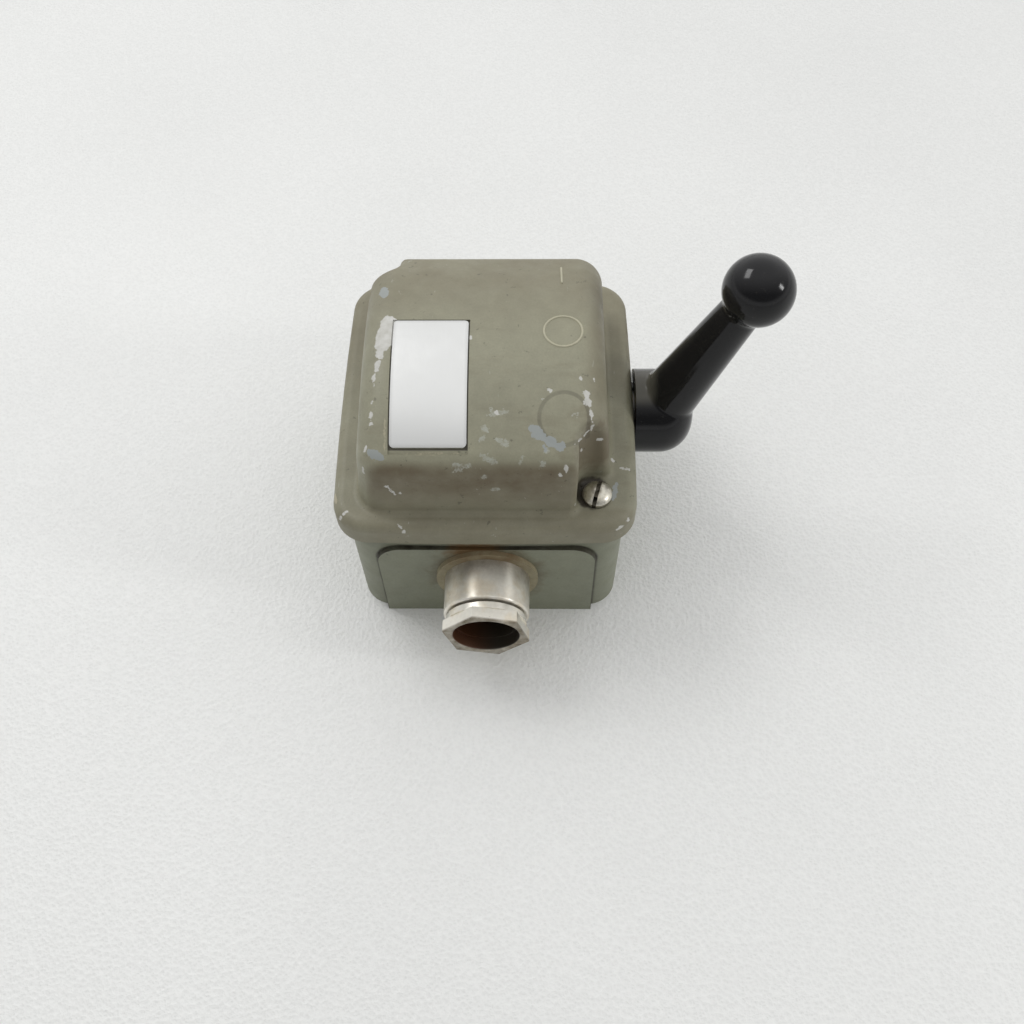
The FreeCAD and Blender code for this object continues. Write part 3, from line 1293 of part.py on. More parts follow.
def wheel_outline(sketch):
    """A star wheel: rounded lobes with a notch between them, the first notch straight up."""
    count = int(number("wheel_notches"))
    half = "(180 / wheel_notches / 2)"
    deep = "(wheel_radius - wheel_notch_radius)"
    points = []
    for step in range(count):
        angle = f"({step} * 360 / wheel_notches)"
        after = f"({angle} + {half})"
        beyond = f"({step + 1} * 360 / wheel_notches - {half})"
        points.append(wheel_point("wheel_radius", after) + wheel_point(deep, angle))
        points.append(wheel_point("wheel_radius", beyond)
                      + wheel_point("wheel_radius", f"({angle} + 180 / wheel_notches)"))
    outline(sketch, *points)
    square_hole(sketch)


def wheel_point(radius, angle):
    """A point of the detent wheel, at an angle from straight up towards the rear."""
    return f"({radius}) * sin({angle})", f"({radius}) * cos({angle})"


def finger_outline(sketch):
    """The stop finger below the wheel, half a throw short of straight down at rest."""
    first = "(180 - lever_throw / 2 - finger_half_angle)"
    last = "(180 - lever_throw / 2 + finger_half_angle)"
    inner = "(wheel_radius - 2 * wheel_notch_radius)"
    outline(
        sketch,
        wheel_point(inner, first),
        wheel_point("finger_reach", first),
        wheel_point("finger_reach", last),
        wheel_point(inner, last),
    )


def stop_places():
    """The two stop pins seen along the axle, where the finger meets them at either end of its throw."""
    away = "(lever_throw / 2 + finger_half_angle + stop_play + asin(stop_radius / stop_reach) / 1deg)"
    return [wheel_point("stop_reach", f"(180 {sign} {away})") for sign in "-+"]


def make_detent():
    """The star wheel on the axle and the leaf spring that drops into its notches."""
    wheel_end = f"({WHEEL_START} + wheel_width)"
    wheel = bars("detent_wheel", (
        (wheel_outline, WHEEL_START, wheel_end),
        (finger_outline, WHEEL_START, wheel_end),
    ))
    leaf = new_body("detent_leaf", y="axle_y", z=AXLE_Z)
    nose = "(wheel_radius - wheel_notch_radius + cam_gap)"
    back = LEAF_Z
    half_nose = "(0.55 * wheel_notch_radius)"
    sketch = new_sketch(leaf, "YZ_Plane", PLATE_END)
    outline(
        sketch,
        (f"-{LEAF_HALF_LENGTH}", back),
        (f"-{half_nose} - leaf_thickness", back),
        (f"{half_nose} + leaf_thickness", back, "0", nose),
        (LEAF_HALF_LENGTH, back),
        (LEAF_HALF_LENGTH, f"{back} + leaf_thickness"),
        (f"{half_nose}", f"{back} + leaf_thickness"),
        (f"-{half_nose}", f"{back} + leaf_thickness", "0", f"{nose} + leaf_thickness"),
        (f"-{LEAF_HALF_LENGTH}", f"{back} + leaf_thickness"),
    )
    pad(leaf, sketch, "wheel_gap + wheel_width")
    sketch = new_sketch(leaf, "YZ_Plane", PLATE_END)
    tab_inner = f"({LEAF_HALF_LENGTH} - leaf_tab)"
    rectangle(sketch, f"-{LEAF_HALF_LENGTH}", back, f"-{tab_inner}", f"{back} + leaf_tab")
    circle(sketch, "leaf_screw_radius + screw_clearance", LEAF_SCREW_Y, LEAF_SCREW_Z)
    pad(leaf, sketch, "leaf_thickness")
    pattern = make_screw("leaf_screw", "leaf_screw_radius", "leaf_thickness + 0.9 * plate_sheet",
                         "1.9 * leaf_screw_radius", "1.2 * leaf_screw_radius", "0.5 * leaf_screw_radius")
    spot = at(f"{PLATE_END} + leaf_thickness", f"axle_y + {LEAF_SCREW_Y}", f"{AXLE_Z} + {LEAF_SCREW_Z}",
              axis=Vector(0, 1, 0), angle=90)
    pin = new_body("stop_pin")
    sketch = new_sketch(pin, "YZ_Plane", f"{PLATE_START} + fit_clearance")
    circle(sketch, "stop_radius")
    pad(pin, sketch, f"{wheel_end} - {PLATE_START}")
    spots = [at("0", f"axle_y + {y}", f"{AXLE_Z} + {z}") for y, z in stop_places()]
    return [wheel, leaf, group("detent_screw", pattern, [spot]), group("stop_pins", pin, spots)]


def make_earth_screw():
    """The earth screw on the floor of the base."""
    screw = make_screw("earth_pattern", "earth_screw_radius", "base_floor - base_wall / 2",
                       "earth_head_radius", "0.6 * earth_head_radius", "0.3 * earth_head_radius")
    return group("earth_screw", screw, [at("earth_x", "earth_y", "base_floor", angle=35)])


def main():
    """Build every piece, check it and write it."""
    base = make_base()
    cover = make_cover()
    parts = [base, cover, make_nameplate(), make_gasket(), make_cover_screws()]
    parts += make_gland()
    parts += [make_lever(), make_set_screw()]
    parts += make_axle()
    parts += [make_bearing(), make_felt()]
    parts += make_frame()
    for deck in DECKS:
        parts += [make_deck(deck), make_cam(deck), make_plunger(deck), make_bridge(deck), make_spring(deck)]
        parts += [make_fixed_contact(deck, name, sign) for name, sign in SIDES]
    parts.append(make_terminal_screws())
    parts += make_detent()
    parts.append(make_earth_screw())
    finish(parts)


def finish(parts):
    """Check every object of the document, then write one file for each part."""
    doc.recompute()
    for item in doc.Objects:
        if {"Invalid", "Error"} & set(item.State):
            raise RuntimeError(f"{item.Label} failed: {item.State}")
    for item in parts:
        if item.Shape.isNull() or not item.Shape.isValid():
            raise RuntimeError(f"{item.Label} has no valid shape")
    os.makedirs("parts", exist_ok=True)
    for item in parts:
        item.Shape.exportStep(f"parts/{item.Label}.step")
        box = item.Shape.BoundBox
        sides = (box.XMin, box.XMax, box.YMin, box.YMax, box.ZMin, box.ZMax)
        print(f"{item.Label:22s} {len(item.Shape.Solids)} {item.Shape.Volume:10.1f}",
              *(f"{side:7.2f}" for side in sides))


main()
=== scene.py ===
"""Enclosed cam switch with a side lever: finishes, raised marks and a plain stage.

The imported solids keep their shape. This file gives each of them its finish, adds the raised
marks on the cover and sets the camera, the lamps and the floor. Lengths are in metres.
"""
import json
import math

import bmesh
import bpy
from bpy.props import FloatProperty, FloatVectorProperty, PointerProperty
from mathutils import Matrix, Vector
from mathutils.bvhtree import BVHTree


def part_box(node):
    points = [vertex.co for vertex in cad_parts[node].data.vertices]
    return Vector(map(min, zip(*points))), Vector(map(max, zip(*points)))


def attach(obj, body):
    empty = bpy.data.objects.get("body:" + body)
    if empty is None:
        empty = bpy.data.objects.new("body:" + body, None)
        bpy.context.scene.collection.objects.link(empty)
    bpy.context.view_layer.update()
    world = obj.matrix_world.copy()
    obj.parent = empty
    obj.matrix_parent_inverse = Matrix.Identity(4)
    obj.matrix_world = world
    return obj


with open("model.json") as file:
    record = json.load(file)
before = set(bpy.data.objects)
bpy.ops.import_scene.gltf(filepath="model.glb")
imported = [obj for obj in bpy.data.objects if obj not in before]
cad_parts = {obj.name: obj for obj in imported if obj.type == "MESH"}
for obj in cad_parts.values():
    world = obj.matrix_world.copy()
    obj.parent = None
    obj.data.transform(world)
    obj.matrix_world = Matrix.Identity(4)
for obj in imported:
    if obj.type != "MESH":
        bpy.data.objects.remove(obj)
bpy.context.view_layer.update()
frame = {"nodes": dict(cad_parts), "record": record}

bl_info = {
    "name": "Enclosed Cam Switch",
    "version": (1, 0, 0),
    "blender": (4, 5, 0),
    "location": "3D View > Sidebar > Switch",
    "description": "Dresses the packed cam switch and sets its stage",
    "category": "Object",
}

MM = 0.001
RECORD = frame["record"]
SLOT_OF = {row["node"]: row["material_slot"] for row in RECORD["subparts"]}

# Places on the case that the finishes refer to
JOINTS = {joint["name"]: joint for joint in RECORD["behaviour"]["joints"]}
AXLE_Y, AXLE_Z = JOINTS["lever_turn"]["pos_m"][1:]
RIM_TOP = 57.2 * MM
GLAND_AXIS_Z = 24.5 * MM
GLAND_BORE = 10.45 * MM
PANEL_HALF, PANEL_TOP, PANEL_CORNER = 34.25 * MM, 41.2 * MM, 8.0 * MM
NUT_FRONT_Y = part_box("gland_nut")[0].y
WASHER_FRONT_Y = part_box("gland_washer")[0].y
PLATE_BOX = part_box("nameplate")
FRONT_SCREW = Vector((33.7, -37.55, 57.2)) * MM
REAR_SCREW = Vector((-33.7, 31.55, 57.2)) * MM
SCREW_SLOTS = ((FRONT_SCREW, math.radians(-15)), (REAR_SCREW, math.radians(-70)))
SCREW_SLOT = 1.2 * MM
OUTER_SCREWS = ("cover_screws", "lever_set_screw")

# Where dirt, dust, painted shade and painted sheen lie: from none to full along an axis, or the
# middle of a spot
CROWN_REAR_Y = (-14 * MM, 26 * MM)
CROWN_SIDE_X = (27 * MM, 34 * MM)
CROWN_SIDE_Z = (58 * MM, 66 * MM)
CROWN_EDGE_Z = (79 * MM, 80 * MM)
# Brown film and painted shade on the front wall, below the crown's shoulder
FRONT_WALL_Y = (-40.8 * MM, -43.2 * MM)
FRONT_WALL_Z = (58 * MM, 75 * MM)
HOOD_FOOT_Z = (RIM_TOP + 9 * MM, RIM_TOP + 0.5 * MM)
CLEAN_RIM_X = (44 * MM, 36 * MM)
SCOOP = (30.5 * MM, -32.5 * MM, 74 * MM)
# Painted shadow in the counterbore, left of and behind the front screw's head
SCREW_POCKET = FRONT_SCREW + Vector((-1.5, 0.9, 0.0)) * MM
SCREW_POCKET_Z = (RIM_TOP + 4.5 * MM, RIM_TOP + 0.6 * MM)
PANEL_FRONT_Y = (-40 * MM, -44 * MM)
UNDER_COVER_Z = (39 * MM, 48 * MM)
RUST_SPOT = (-4 * MM, WASHER_FRONT_Y, GLAND_AXIS_Z + 17 * MM)
GLAND_FOOT_Y = (WASHER_FRONT_Y - 9 * MM, WASHER_FRONT_Y - 0.5 * MM)
NUT_FACE_Y = (NUT_FRONT_Y + 1.0 * MM, NUT_FRONT_Y + 0.1 * MM)
BORE_DARK_X = (-7 * MM, 4 * MM)
# Dust and painted sheen on the top of the lever's hub
HUB_TOP_X = (54 * MM, 51 * MM)
HUB_TOP_Y = (AXLE_Y - 8 * MM, AXLE_Y - 4 * MM)
HUB_TOP_Z = (AXLE_Z + 9 * MM, AXLE_Z + 13 * MM)

# Grain of the mouldings, per metre
MOULDING_GRAIN = 300.0

# Strokes of wear: the grain of their drift and of their fringe per metre, the swelling that
# makes up for an ellipse's thin ends, the softness of an edge, and the length of a mere spot
STROKE_DRIFT = 650.0
STROKE_FRINGE = 1900.0
STROKE_SWELL = 1.4
STROKE_EDGE = 0.12 * MM
SPOT_LENGTH = 0.8 * MM

# Raised marks: steps along and across them, the depth of their foot as a share of their height,
# the least upward part of the cover's normal under them, and a height clear of the cover
RING_STEPS = 120
BAR_STEPS = 12
BEAD_STEPS = 6
BEAD_FOOT = -0.4
LEAST_UPWARD = 0.82
ABOVE_COVER = 1.0

# The stage: each lamp's name, place, width, height and power property, and what the lamps face
LAMPS = (
    ("key_lamp", (-0.51, 0.345, 0.87), 0.50, 0.28, "key_power"),
    ("side_lamp", (0.88, -0.20, 0.52), 0.14, 0.24, "side_power"),
)
LAMP_TARGET = Vector((0, 0, 0.05))
FLOOR_HALF = 4.0
# The room's light: its bright side, then its strength from start to end, low to high, by the
# slope to that side and by the height over the horizon
BRIGHT_SIDE = (0.0, 0.65, 0.75)
SKY_LIGHT = (0.17, 0.95, -0.10, 0.72)
HORIZON_LIGHT = (0.75, 0.0, 0.12, 0.30)
# The camera: its sensor in millimetres, the focal length as a share of that, and its clipping
SENSOR_WIDTH = 36.0
FOCAL_SHARE = 1100.0 / 1024.0
CLIP_START, CLIP_END = 0.01, 20.0
# A mix node's sockets for colours
MIX_FACTOR, MIX_FIRST, MIX_SECOND, MIX_RESULT = 0, 6, 7, 2

# Wear on the cover and the lever, and painted highlights: start, end and half width of each stroke
# in mm
PRIMER_CHIPS = (
    (-27.8, 1.2, 92.8, -26.6, -6.0, 92.4, 2.0),
    (-28.9, -2.5, 92.8, -27.6, -8.8, 92.7, 1.9),
    (-29.6, -4.6, 92.6, -28.6, -10.5, 92.5, 1.6),
    (-29.8, -9.5, 92.2, -29.0, -13.0, 92.1, 0.9),
    (-29.8, -13.8, 91.7, -30.2, -17.2, 91.0, 0.6),
    (-30.5, -17.7, 90.8, -31.0, -20.0, 90.0, 0.42),
    (-30.7, -20.7, 90.0, -30.8, -21.6, 89.7, 0.2),
    (-31.1, -25.3, 88.5, -30.9, -26.5, 88.2, 0.25),
    (-31.3, -28.3, 87.4, -31.2, -30.7, 86.5, 0.42),
    (-31.2, -31.5, 86.2, -31.2, -32.1, 86.0, 0.2),
    (-32.6, -37.0, 82.7, -33.2, -38.0, 81.7, 0.42),
    (-33.8, -40.8, 77.7, -33.8, -41.2, 74.8, 0.4),
    (-28.6, -43.6, 71.6, -27.1, -43.7, 72.2, 0.35),
    (-27.1, -43.7, 72.2, -25.6, -43.7, 67.4, 0.3),
    (-24.3, -43.7, 68.4, -24.0, -43.7, 68.5, 0.25),
    (-25.2, -47.2, 56.8, -24.7, -48.3, 55.8, 0.3),
    (-24.1, -48.8, 54.9, -23.8, -48.8, 54.9, 0.3),
    (-42.5, -43.9, 56.4, -40.7, -43.3, 57.2, 0.35),
    (-43.3, -44.6, 54.7, -42.9, -44.3, 55.9, 0.35),
    (29.3, -23.4, 89.8, 29.5, -24.5, 89.4, 0.75),
    (29.3, -25.1, 89.3, 30.1, -27.2, 88.3, 0.75),
    (30.4, -27.7, 88.1, 30.9, -30.7, 86.5, 0.35),
    (30.9, -30.9, 86.3, 30.8, -31.6, 82.4, 0.4),
    (30.2, -31.9, 83.4, 28.5, -33.4, 81.5, 0.35),
    (28.5, -33.4, 81.5, 26.7, -36.1, 83.9, 0.35),
    (26.4, -36.9, 83.7, 25.5, -37.9, 83.7, 0.25),
    (33.4, -31.1, 77.8, 33.7, -31.1, 77.3, 0.4),
    (28.2, -33.9, 76.8, 28.5, -33.4, 75.0, 0.35),
    (23.6, -41.8, 80.9, 23.7, -43.2, 78.4, 0.4),
    (21.7, -43.4, 77.7, 22.3, -43.4, 77.7, 0.3),
    (38.7, -24.9, 57.6, 39.0, -25.1, 57.4, 0.35),
    (41.0, -27.5, 57.2, 44.1, -28.1, 56.9, 0.3),
    (26.6, -42.6, 61.4, 26.9, -42.1, 60.0, 0.35),
    (39.2, -47.8, 54.5, 41.3, -46.5, 54.7, 0.5),
    (42.8, -44.6, 55.6, 42.8, -44.8, 55.4, 0.35),
    (4.0, -28.6, 88.3, 4.3, -29.9, 87.8, 0.4),
    (19.1, -23.0, 90.2, 19.4, -23.3, 90.1, 0.3),
    (27.6, -19.5, 91.1, 27.9, -19.7, 91.0, 0.3),
    (31.7, -18.9, 89.9, 31.9, -19.1, 89.7, 0.25),
    (-3.7, -6.0, 92.9, -3.7, -6.4, 92.9, 0.3),
)
UNDERCOAT_CHIPS = (
    (13.8, -33.1, 86.4, 16.6, -34.6, 85.7, 1.1),
    (14.4, -34.9, 85.6, 17.7, -35.9, 85.1, 1.0),
    (17.7, -35.9, 85.1, 20.8, -37.6, 84.2, 1.0),
    (20.8, -37.9, 84.0, 23.3, -37.9, 84.0, 0.9),
    (-30.6, 15.6, 89.8, -29.5, 10.7, 91.3, 1.1),
    (-32.0, -38.7, 82.2, -27.9, -40.7, 82.2, 1.0),
    (39.9, -32.6, 57.2, 38.3, -39.2, 57.2, 0.55),
    (17.4, -37.6, 84.2, 18.0, -39.1, 83.3, 0.4),
)
SCUFFS = (
    (1.5, -29.9, 87.8, 7.9, -28.9, 88.2, 0.45),
    (2.3, -28.6, 88.3, 5.1, -29.4, 88.0, 0.5),
    (0.9, -33.3, 86.3, 1.2, -33.9, 86.1, 0.5),
    (3.7, -35.9, 85.1, 7.9, -37.9, 84.0, 0.6),
    (-0.4, -36.4, 84.8, 1.2, -35.4, 85.3, 0.5),
    (-0.4, -40.0, 82.7, 4.3, -41.7, 81.1, 0.7),
    (1.2, -41.3, 81.6, 3.8, -40.9, 82.0, 0.6),
    (-8.3, -41.8, 80.9, -4.4, -42.5, 79.9, 0.4),
    (-8.1, -43.1, 78.7, -5.5, -42.7, 79.6, 0.5),
    (-5.5, -42.3, 80.2, -3.3, -41.8, 80.9, 0.4),
    (16.6, -41.8, 80.9, 17.2, -41.5, 81.4, 0.7),
    (17.7, -38.8, 83.5, 18.8, -39.1, 83.3, 0.5),
    (25.3, -30.2, 87.7, 27.5, -29.7, 87.9, 0.35),
    (2.6, -43.7, 70.1, 5.0, -43.7, 70.7, 0.6),
    (0.3, -43.6, 76.4, 1.1, -43.5, 77.3, 0.5),
    (11.3, -40.0, 82.7, 10.7, -42.0, 80.7, 0.4),
)
# The first two strokes paint a highlight along the bottom and left edges of the plate's recess;
# the last is rubbed enamel on the rim's front left corner
RUBBED_EDGES_AND_HIGHLIGHTS = (
    (-26.6, -39.6, 82.9, -4.0, -39.6, 82.9, 0.3),
    (-27.2, -30.0, 87.6, -27.2, -39.2, 83.2, 0.25),
    (-44.5, -40.0, 56.2, -45.6, -36.0, 55.6, 0.5),
)
LEVER_SCRATCHES = (
    (67.0, 4.1, 89.3, 67.6, -1.5, 90.5, 0.25),
    (67.7, 3.0, 92.0, 70.4, -2.7, 93.7, 0.3),
    (68.9, 1.5, 95.0, 71.0, -5.8, 100.7, 0.25),
    (63.8, -0.1, 84.5, 65.2, -0.2, 87.2, 0.25),
)


def colour_property(name, description, default):
    """A colour that a user may change."""
    return FloatVectorProperty(name=name, description=description, default=default, size=3,
                               subtype="COLOR", min=0.0, max=1.0)


def length_property(name, description, default):
    """A length that a user may change."""
    return FloatProperty(name=name, description=description, default=default, min=0.0,
                         subtype="DISTANCE", unit="LENGTH")


def place_property(name, description, default):
    """A place along an axis that a user may change."""
    return FloatProperty(name=name, description=description, default=default,
                         subtype="DISTANCE", unit="LENGTH")


def angle_property(name, description, default):
    """An angle that a user may change, with its default in degrees."""
    return FloatProperty(name=name, description=description, default=math.radians(default),
                         subtype="ANGLE")


def power_property(name, description, default):
    """A lamp's power that a user may change."""
    return FloatProperty(name=name, description=description, default=default, min=0.0,
                         unit="POWER")


class SwitchFinishes(bpy.types.PropertyGroup):
    """Colours of the finishes."""

    cover_paint: colour_property("Cover paint", "Enamel of the cover", (0.272, 0.264, 0.189))
    base_paint: colour_property("Base paint", "Enamel of the base", (0.225, 0.235, 0.170))
    primer: colour_property("Primer", "Pale coat under the enamel", (0.60, 0.595, 0.565))
    undercoat: colour_property("Undercoat", "Grey coat under the enamel", (0.31, 0.335, 0.335))
    # The film colour also paints shade on the cover's front wall
    film: colour_property("Film", "Brown film of dirt on the enamel", (0.130, 0.100, 0.058))
    # The grime colour also paints shadows: in the front screw's counterbore, round the base's
    # panel and in the screws' slots
    grime_and_shade: colour_property("Grime", "Dark dirt in the hollows", (0.030, 0.024, 0.015))
    scuff: colour_property("Scuff", "Enamel rubbed pale", (0.40, 0.41, 0.36))
    # The rubbed colour also paints a highlight along the edge of the plate's recess
    rubbed_and_highlight: colour_property("Rubbed edge", "Enamel rubbed through", (0.42, 0.38, 0.27))
    rust: colour_property("Rust", "Rusty water stains", (0.145, 0.075, 0.022))
    plate: colour_property("Plate", "Bare sheet of the nameplate", (0.73, 0.735, 0.725))
    plate_spots: colour_property("Plate spots", "Dull spots of the sheet", (0.35, 0.34, 0.31))
    lever: colour_property("Lever", "Black moulding of the lever", (0.007, 0.007, 0.008))
    # The dust colour also paints a sheen on the top of the lever's hub
    dust: colour_property("Dust", "Dust on the lever", (0.105, 0.100, 0.082))
    scratch: colour_property("Scratch", "Scratches of the lever", (0.17, 0.17, 0.165))
    nickel: colour_property("Nickel", "Plating of the gland", (0.90, 0.87, 0.79))
    brass: colour_property("Brass", "Worn places of the gland", (0.74, 0.64, 0.47))
    bore_rust: colour_property("Bore", "Rusty lining of the bore", (0.085, 0.030, 0.010))
    fibre: colour_property("Fibre", "Washer under the gland", (0.31, 0.275, 0.175))
    seal: colour_property("Seal", "Rubber of the gland's seal", (0.02, 0.015, 0.012))
    gasket: colour_property("Gasket", "Rubber of the gasket", (0.02, 0.02, 0.02))
    steel: colour_property("Steel", "Plated screws", (0.72, 0.69, 0.60))
    worn_steel: colour_property("Worn steel", "Worn places of the screws", (0.40, 0.36, 0.28))
    mark: colour_property("Marks", "Worn enamel of the raised marks", (0.42, 0.40, 0.29))


class SwitchMarks(bpy.types.PropertyGroup):
    """Sizes of the raised marks on the cover."""

    across: place_property("Marks across", "Middle of the marks along X", 23.1 * MM)
    off_along: place_property("Off mark along", "Middle of the off ring along Y", -3.8 * MM)
    off_radius: length_property("Off ring", "Radius of the off ring", 5.55 * MM)
    on_along: place_property("On mark along", "Middle of the on bar along Y", 21.9 * MM)
    on_length: length_property("On bar", "Length of the on bar", 9.6 * MM)
    disc_along: place_property("Disc along", "Middle of the blank disc along Y", -30.6 * MM)
    disc_radius: length_property("Disc", "Radius of the blank disc", 7.0 * MM)
    bead_width: length_property("Bead width", "Half width of a raised line", 0.34 * MM)
    bead_height: length_property("Bead height", "Height of a raised line", 0.28 * MM)


class SwitchStage(bpy.types.PropertyGroup):
    """The camera, the lamps and the floor."""

    camera_place: FloatVectorProperty(name="Camera", description="Place of the camera", size=3,
                                      default=(0.01289, -0.21217, 0.33772),
                                      subtype="TRANSLATION", unit="LENGTH")
    camera_pitch: angle_property("Pitch", "Camera below the horizon", 58.933)
    camera_yaw: angle_property("Yaw", "Camera turned to the left", 1.574)
    camera_roll: angle_property("Roll", "Camera turned about its own axis", -1.265)
    camera_lens: FloatProperty(name="Lens", description="Focal length in millimetres",
                               default=SENSOR_WIDTH * FOCAL_SHARE)
    key_power: power_property("Key lamp", "Power of the large lamp behind the switch", 2.6)
    side_power: power_property("Side lamp", "Power of the small lamp on the right", 1.5)
    room_light: FloatProperty(name="Room light", description="Strength of the light all around",
                              default=1.06, min=0.0)
    floor: colour_property("Floor", "Foam sheet under the switch", (0.80, 0.805, 0.79))


class Graph:
    """Short calls for the nodes and links of a shader tree."""

    def __init__(self, tree):
        self.tree = tree

    def node(self, kind, inputs=None, **settings):
        """A node with its settings, and its inputs linked or set."""
        made = self.tree.nodes.new(kind)
        for name, value in settings.items():
            setattr(made, name, value)
        for name, value in (inputs or {}).items():
            self.feed(made.inputs[name], value)
        return made

    def feed(self, socket, value):
        """Link a socket to another, or set it to a plain value."""
        if isinstance(value, bpy.types.NodeSocket):
            self.tree.links.new(value, socket)
        elif hasattr(value, "__len__") and len(value) == 3 and socket.type == "RGBA":
            socket.default_value = (*value, 1.0)
        else:
            socket.default_value = value

    def math(self, operation, *values):
        """A math node's result."""
        made = self.node("ShaderNodeMath", operation=operation)
        for index, value in enumerate(values):
            self.feed(made.inputs[index], value)
        return made.outputs[0]

    def vector(self, operation, *values):
        """A vector math node."""
        made = self.node("ShaderNodeVectorMath", operation=operation)
        for index, value in enumerate(values):
            self.feed(made.inputs[index], value)
        return made

    def parts(self, vector):
        """The three coordinates of a vector."""
        split = self.node("ShaderNodeSeparateXYZ", {"Vector": vector})
        return split.outputs["X"], split.outputs["Y"], split.outputs["Z"]

    def spread(self, value, start, end, low=0.3, high=0.7):
        """A value stretched to run from start to end between its low and its high."""
        return self.node("ShaderNodeMapRange", {
            "Value": value, "From Min": low, "From Max": high, "To Min": start, "To Max": end,
        }).outputs["Result"]

    def step(self, value, low, high, start=0.0, end=1.0):
        """A smooth step of a value from start to end."""
        return self.node("ShaderNodeMapRange", {
            "Value": value, "From Min": low, "From Max": high, "To Min": start, "To Max": end,
        }, interpolation_type="SMOOTHSTEP").outputs["Result"]

    def times(self, *values):
        """A product of several values."""
        result = values[0]
        for value in values[1:]:
            result = self.math("MULTIPLY", result, value)
        return result

    def most(self, *values):
        """The largest of several values."""
        result = values[0]
        for value in values[1:]:
            result = self.math("MAXIMUM", result, value)
        return result

    def past(self, value, limit):
        """How far a value lies past a limit, or 0."""
        return self.math("MAXIMUM", self.math("SUBTRACT", value, limit), 0.0)

    def off(self, value, middle):
        """How far a value lies from a middle, to either side."""
        return self.math("ABSOLUTE", self.math("SUBTRACT", value, middle))

    def slant(self, first, second):
        """The length of two parts at a right angle."""
        squares = self.math("ADD", self.times(first, first), self.times(second, second))
        return self.math("SQRT", squares)


class Finish(Graph):
    """A material under construction."""

    def __init__(self, name):
        self.material = bpy.data.materials.new(name)
        self.material.use_nodes = True
        super().__init__(self.material.node_tree)
        self.tree.nodes.clear()
        self.shader = self.node("ShaderNodeBsdfPrincipled")
        output = self.node("ShaderNodeOutputMaterial")
        self.tree.links.new(self.shader.outputs["BSDF"], output.inputs["Surface"])
        self.place = self.node("ShaderNodeTexCoord").outputs["Object"]

    def set(self, **inputs):
        """Set or link inputs of the shader, with _ for a space in their names."""
        for name, value in inputs.items():
            self.feed(self.shader.inputs[name.replace("_", " ")], value)

    def axes(self):
        """The three coordinates of the place."""
        return self.parts(self.place)

    def stretched(self, *factors):
        """The place, with a factor along each axis."""
        return self.vector("MULTIPLY", self.place, factors).outputs["Vector"]

    def distance(self, place, point):
        """How far a place lies from a point."""
        return self.vector("DISTANCE", place, tuple(point)).outputs["Value"]

    def noise(self, scale, detail=3.0, roughness=0.5, distortion=0.0, place=None):
        """Fractal noise about 0.5, at a scale per metre."""
        return self.node("ShaderNodeTexNoise", {
            "Vector": place or self.place, "Scale": scale, "Detail": detail,
            "Roughness": roughness, "Distortion": distortion}).outputs["Fac"]

    def cells(self, scale):
        """Distance to the nearest cell point."""
        cells = self.node("ShaderNodeTexVoronoi", {"Vector": self.place, "Scale": scale})
        return cells.outputs["Distance"]

    def mix(self, factor, first, second):
        """Two colours mixed."""
        made = self.node("ShaderNodeMix", data_type="RGBA")
        self.feed(made.inputs[MIX_FACTOR], factor)
        self.feed(made.inputs[MIX_FIRST], first)
        self.feed(made.inputs[MIX_SECOND], second)
        return made.outputs[MIX_RESULT]

    def scaled(self, colour, factor):
        """A colour times a factor."""
        made = self.vector("SCALE", colour)
        self.feed(made.inputs["Scale"], factor)
        return made.outputs["Vector"]

    def bump(self, height, depth, strength, below=None):
        """A normal bumped by a height of that depth."""
        inputs = {"Height": height, "Distance": depth, "Strength": strength}
        if below is not None:
            inputs["Normal"] = below
        return self.node("ShaderNodeBump", inputs).outputs["Normal"]

    def strokes(self, lines, wander, ragged):
        """1 on any of the strokes, with ragged edges, and 0 elsewhere."""
        drift = self.node("ShaderNodeTexNoise",
                          {"Vector": self.place, "Scale": STROKE_DRIFT, "Detail": 3.0})
        drift = self.vector("SUBTRACT", drift.outputs["Color"], (0.5, 0.5, 0.5))
        drift = self.scaled(drift.outputs["Vector"], 4.0 * wander)
        place = self.vector("ADD", self.place, drift).outputs["Vector"]
        fringe = self.spread(self.noise(STROKE_FRINGE, 3.0, 0.6), -ragged, ragged)
        nearest = None
        for stroke in lines:
            start, end = Vector(stroke[:3]) * MM, Vector(stroke[3:6]) * MM
            edge = self.stroke_edge(place, start, end, STROKE_SWELL * stroke[6] * MM)
            nearest = edge if nearest is None else self.math("MINIMUM", nearest, edge)
        return self.step(self.math("ADD", nearest, fringe), STROKE_EDGE, -STROKE_EDGE)

    def stroke_edge(self, place, start, end, half):
        """Distance from the edge of a long ellipse about two ends, or of a ball if short.

        A stroke takes only one or two distances, as the cover has many and a shader has
        little room.
        """
        length = (end - start).length
        if length < SPOT_LENGTH:
            away = self.distance(place, (start + end) / 2)
            return self.math("SUBTRACT", away, half + length / 2)
        around = math.hypot(length, 2 * half)
        slope = 4 * half / around
        path = self.math("ADD", self.distance(place, start), self.distance(place, end))
        return self.math("MULTIPLY_ADD", path, 1 / slope, -around / slope)

    def near(self, middle, inner, outer, ragged=0.0, scale=160.0):
        """1 within the inner distance of a place, falling to 0 at the outer one."""
        away = self.distance(self.place, middle)
        if ragged:
            drift = self.spread(self.noise(scale, 4.0, 0.6), -ragged, ragged)
            away = self.math("ADD", away, drift)
        return self.step(away, outer, inner)


def give(material, *nodes):
    """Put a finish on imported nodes."""
    for name in nodes:
        for slot in frame["nodes"][name].material_slots:
            slot.material = material


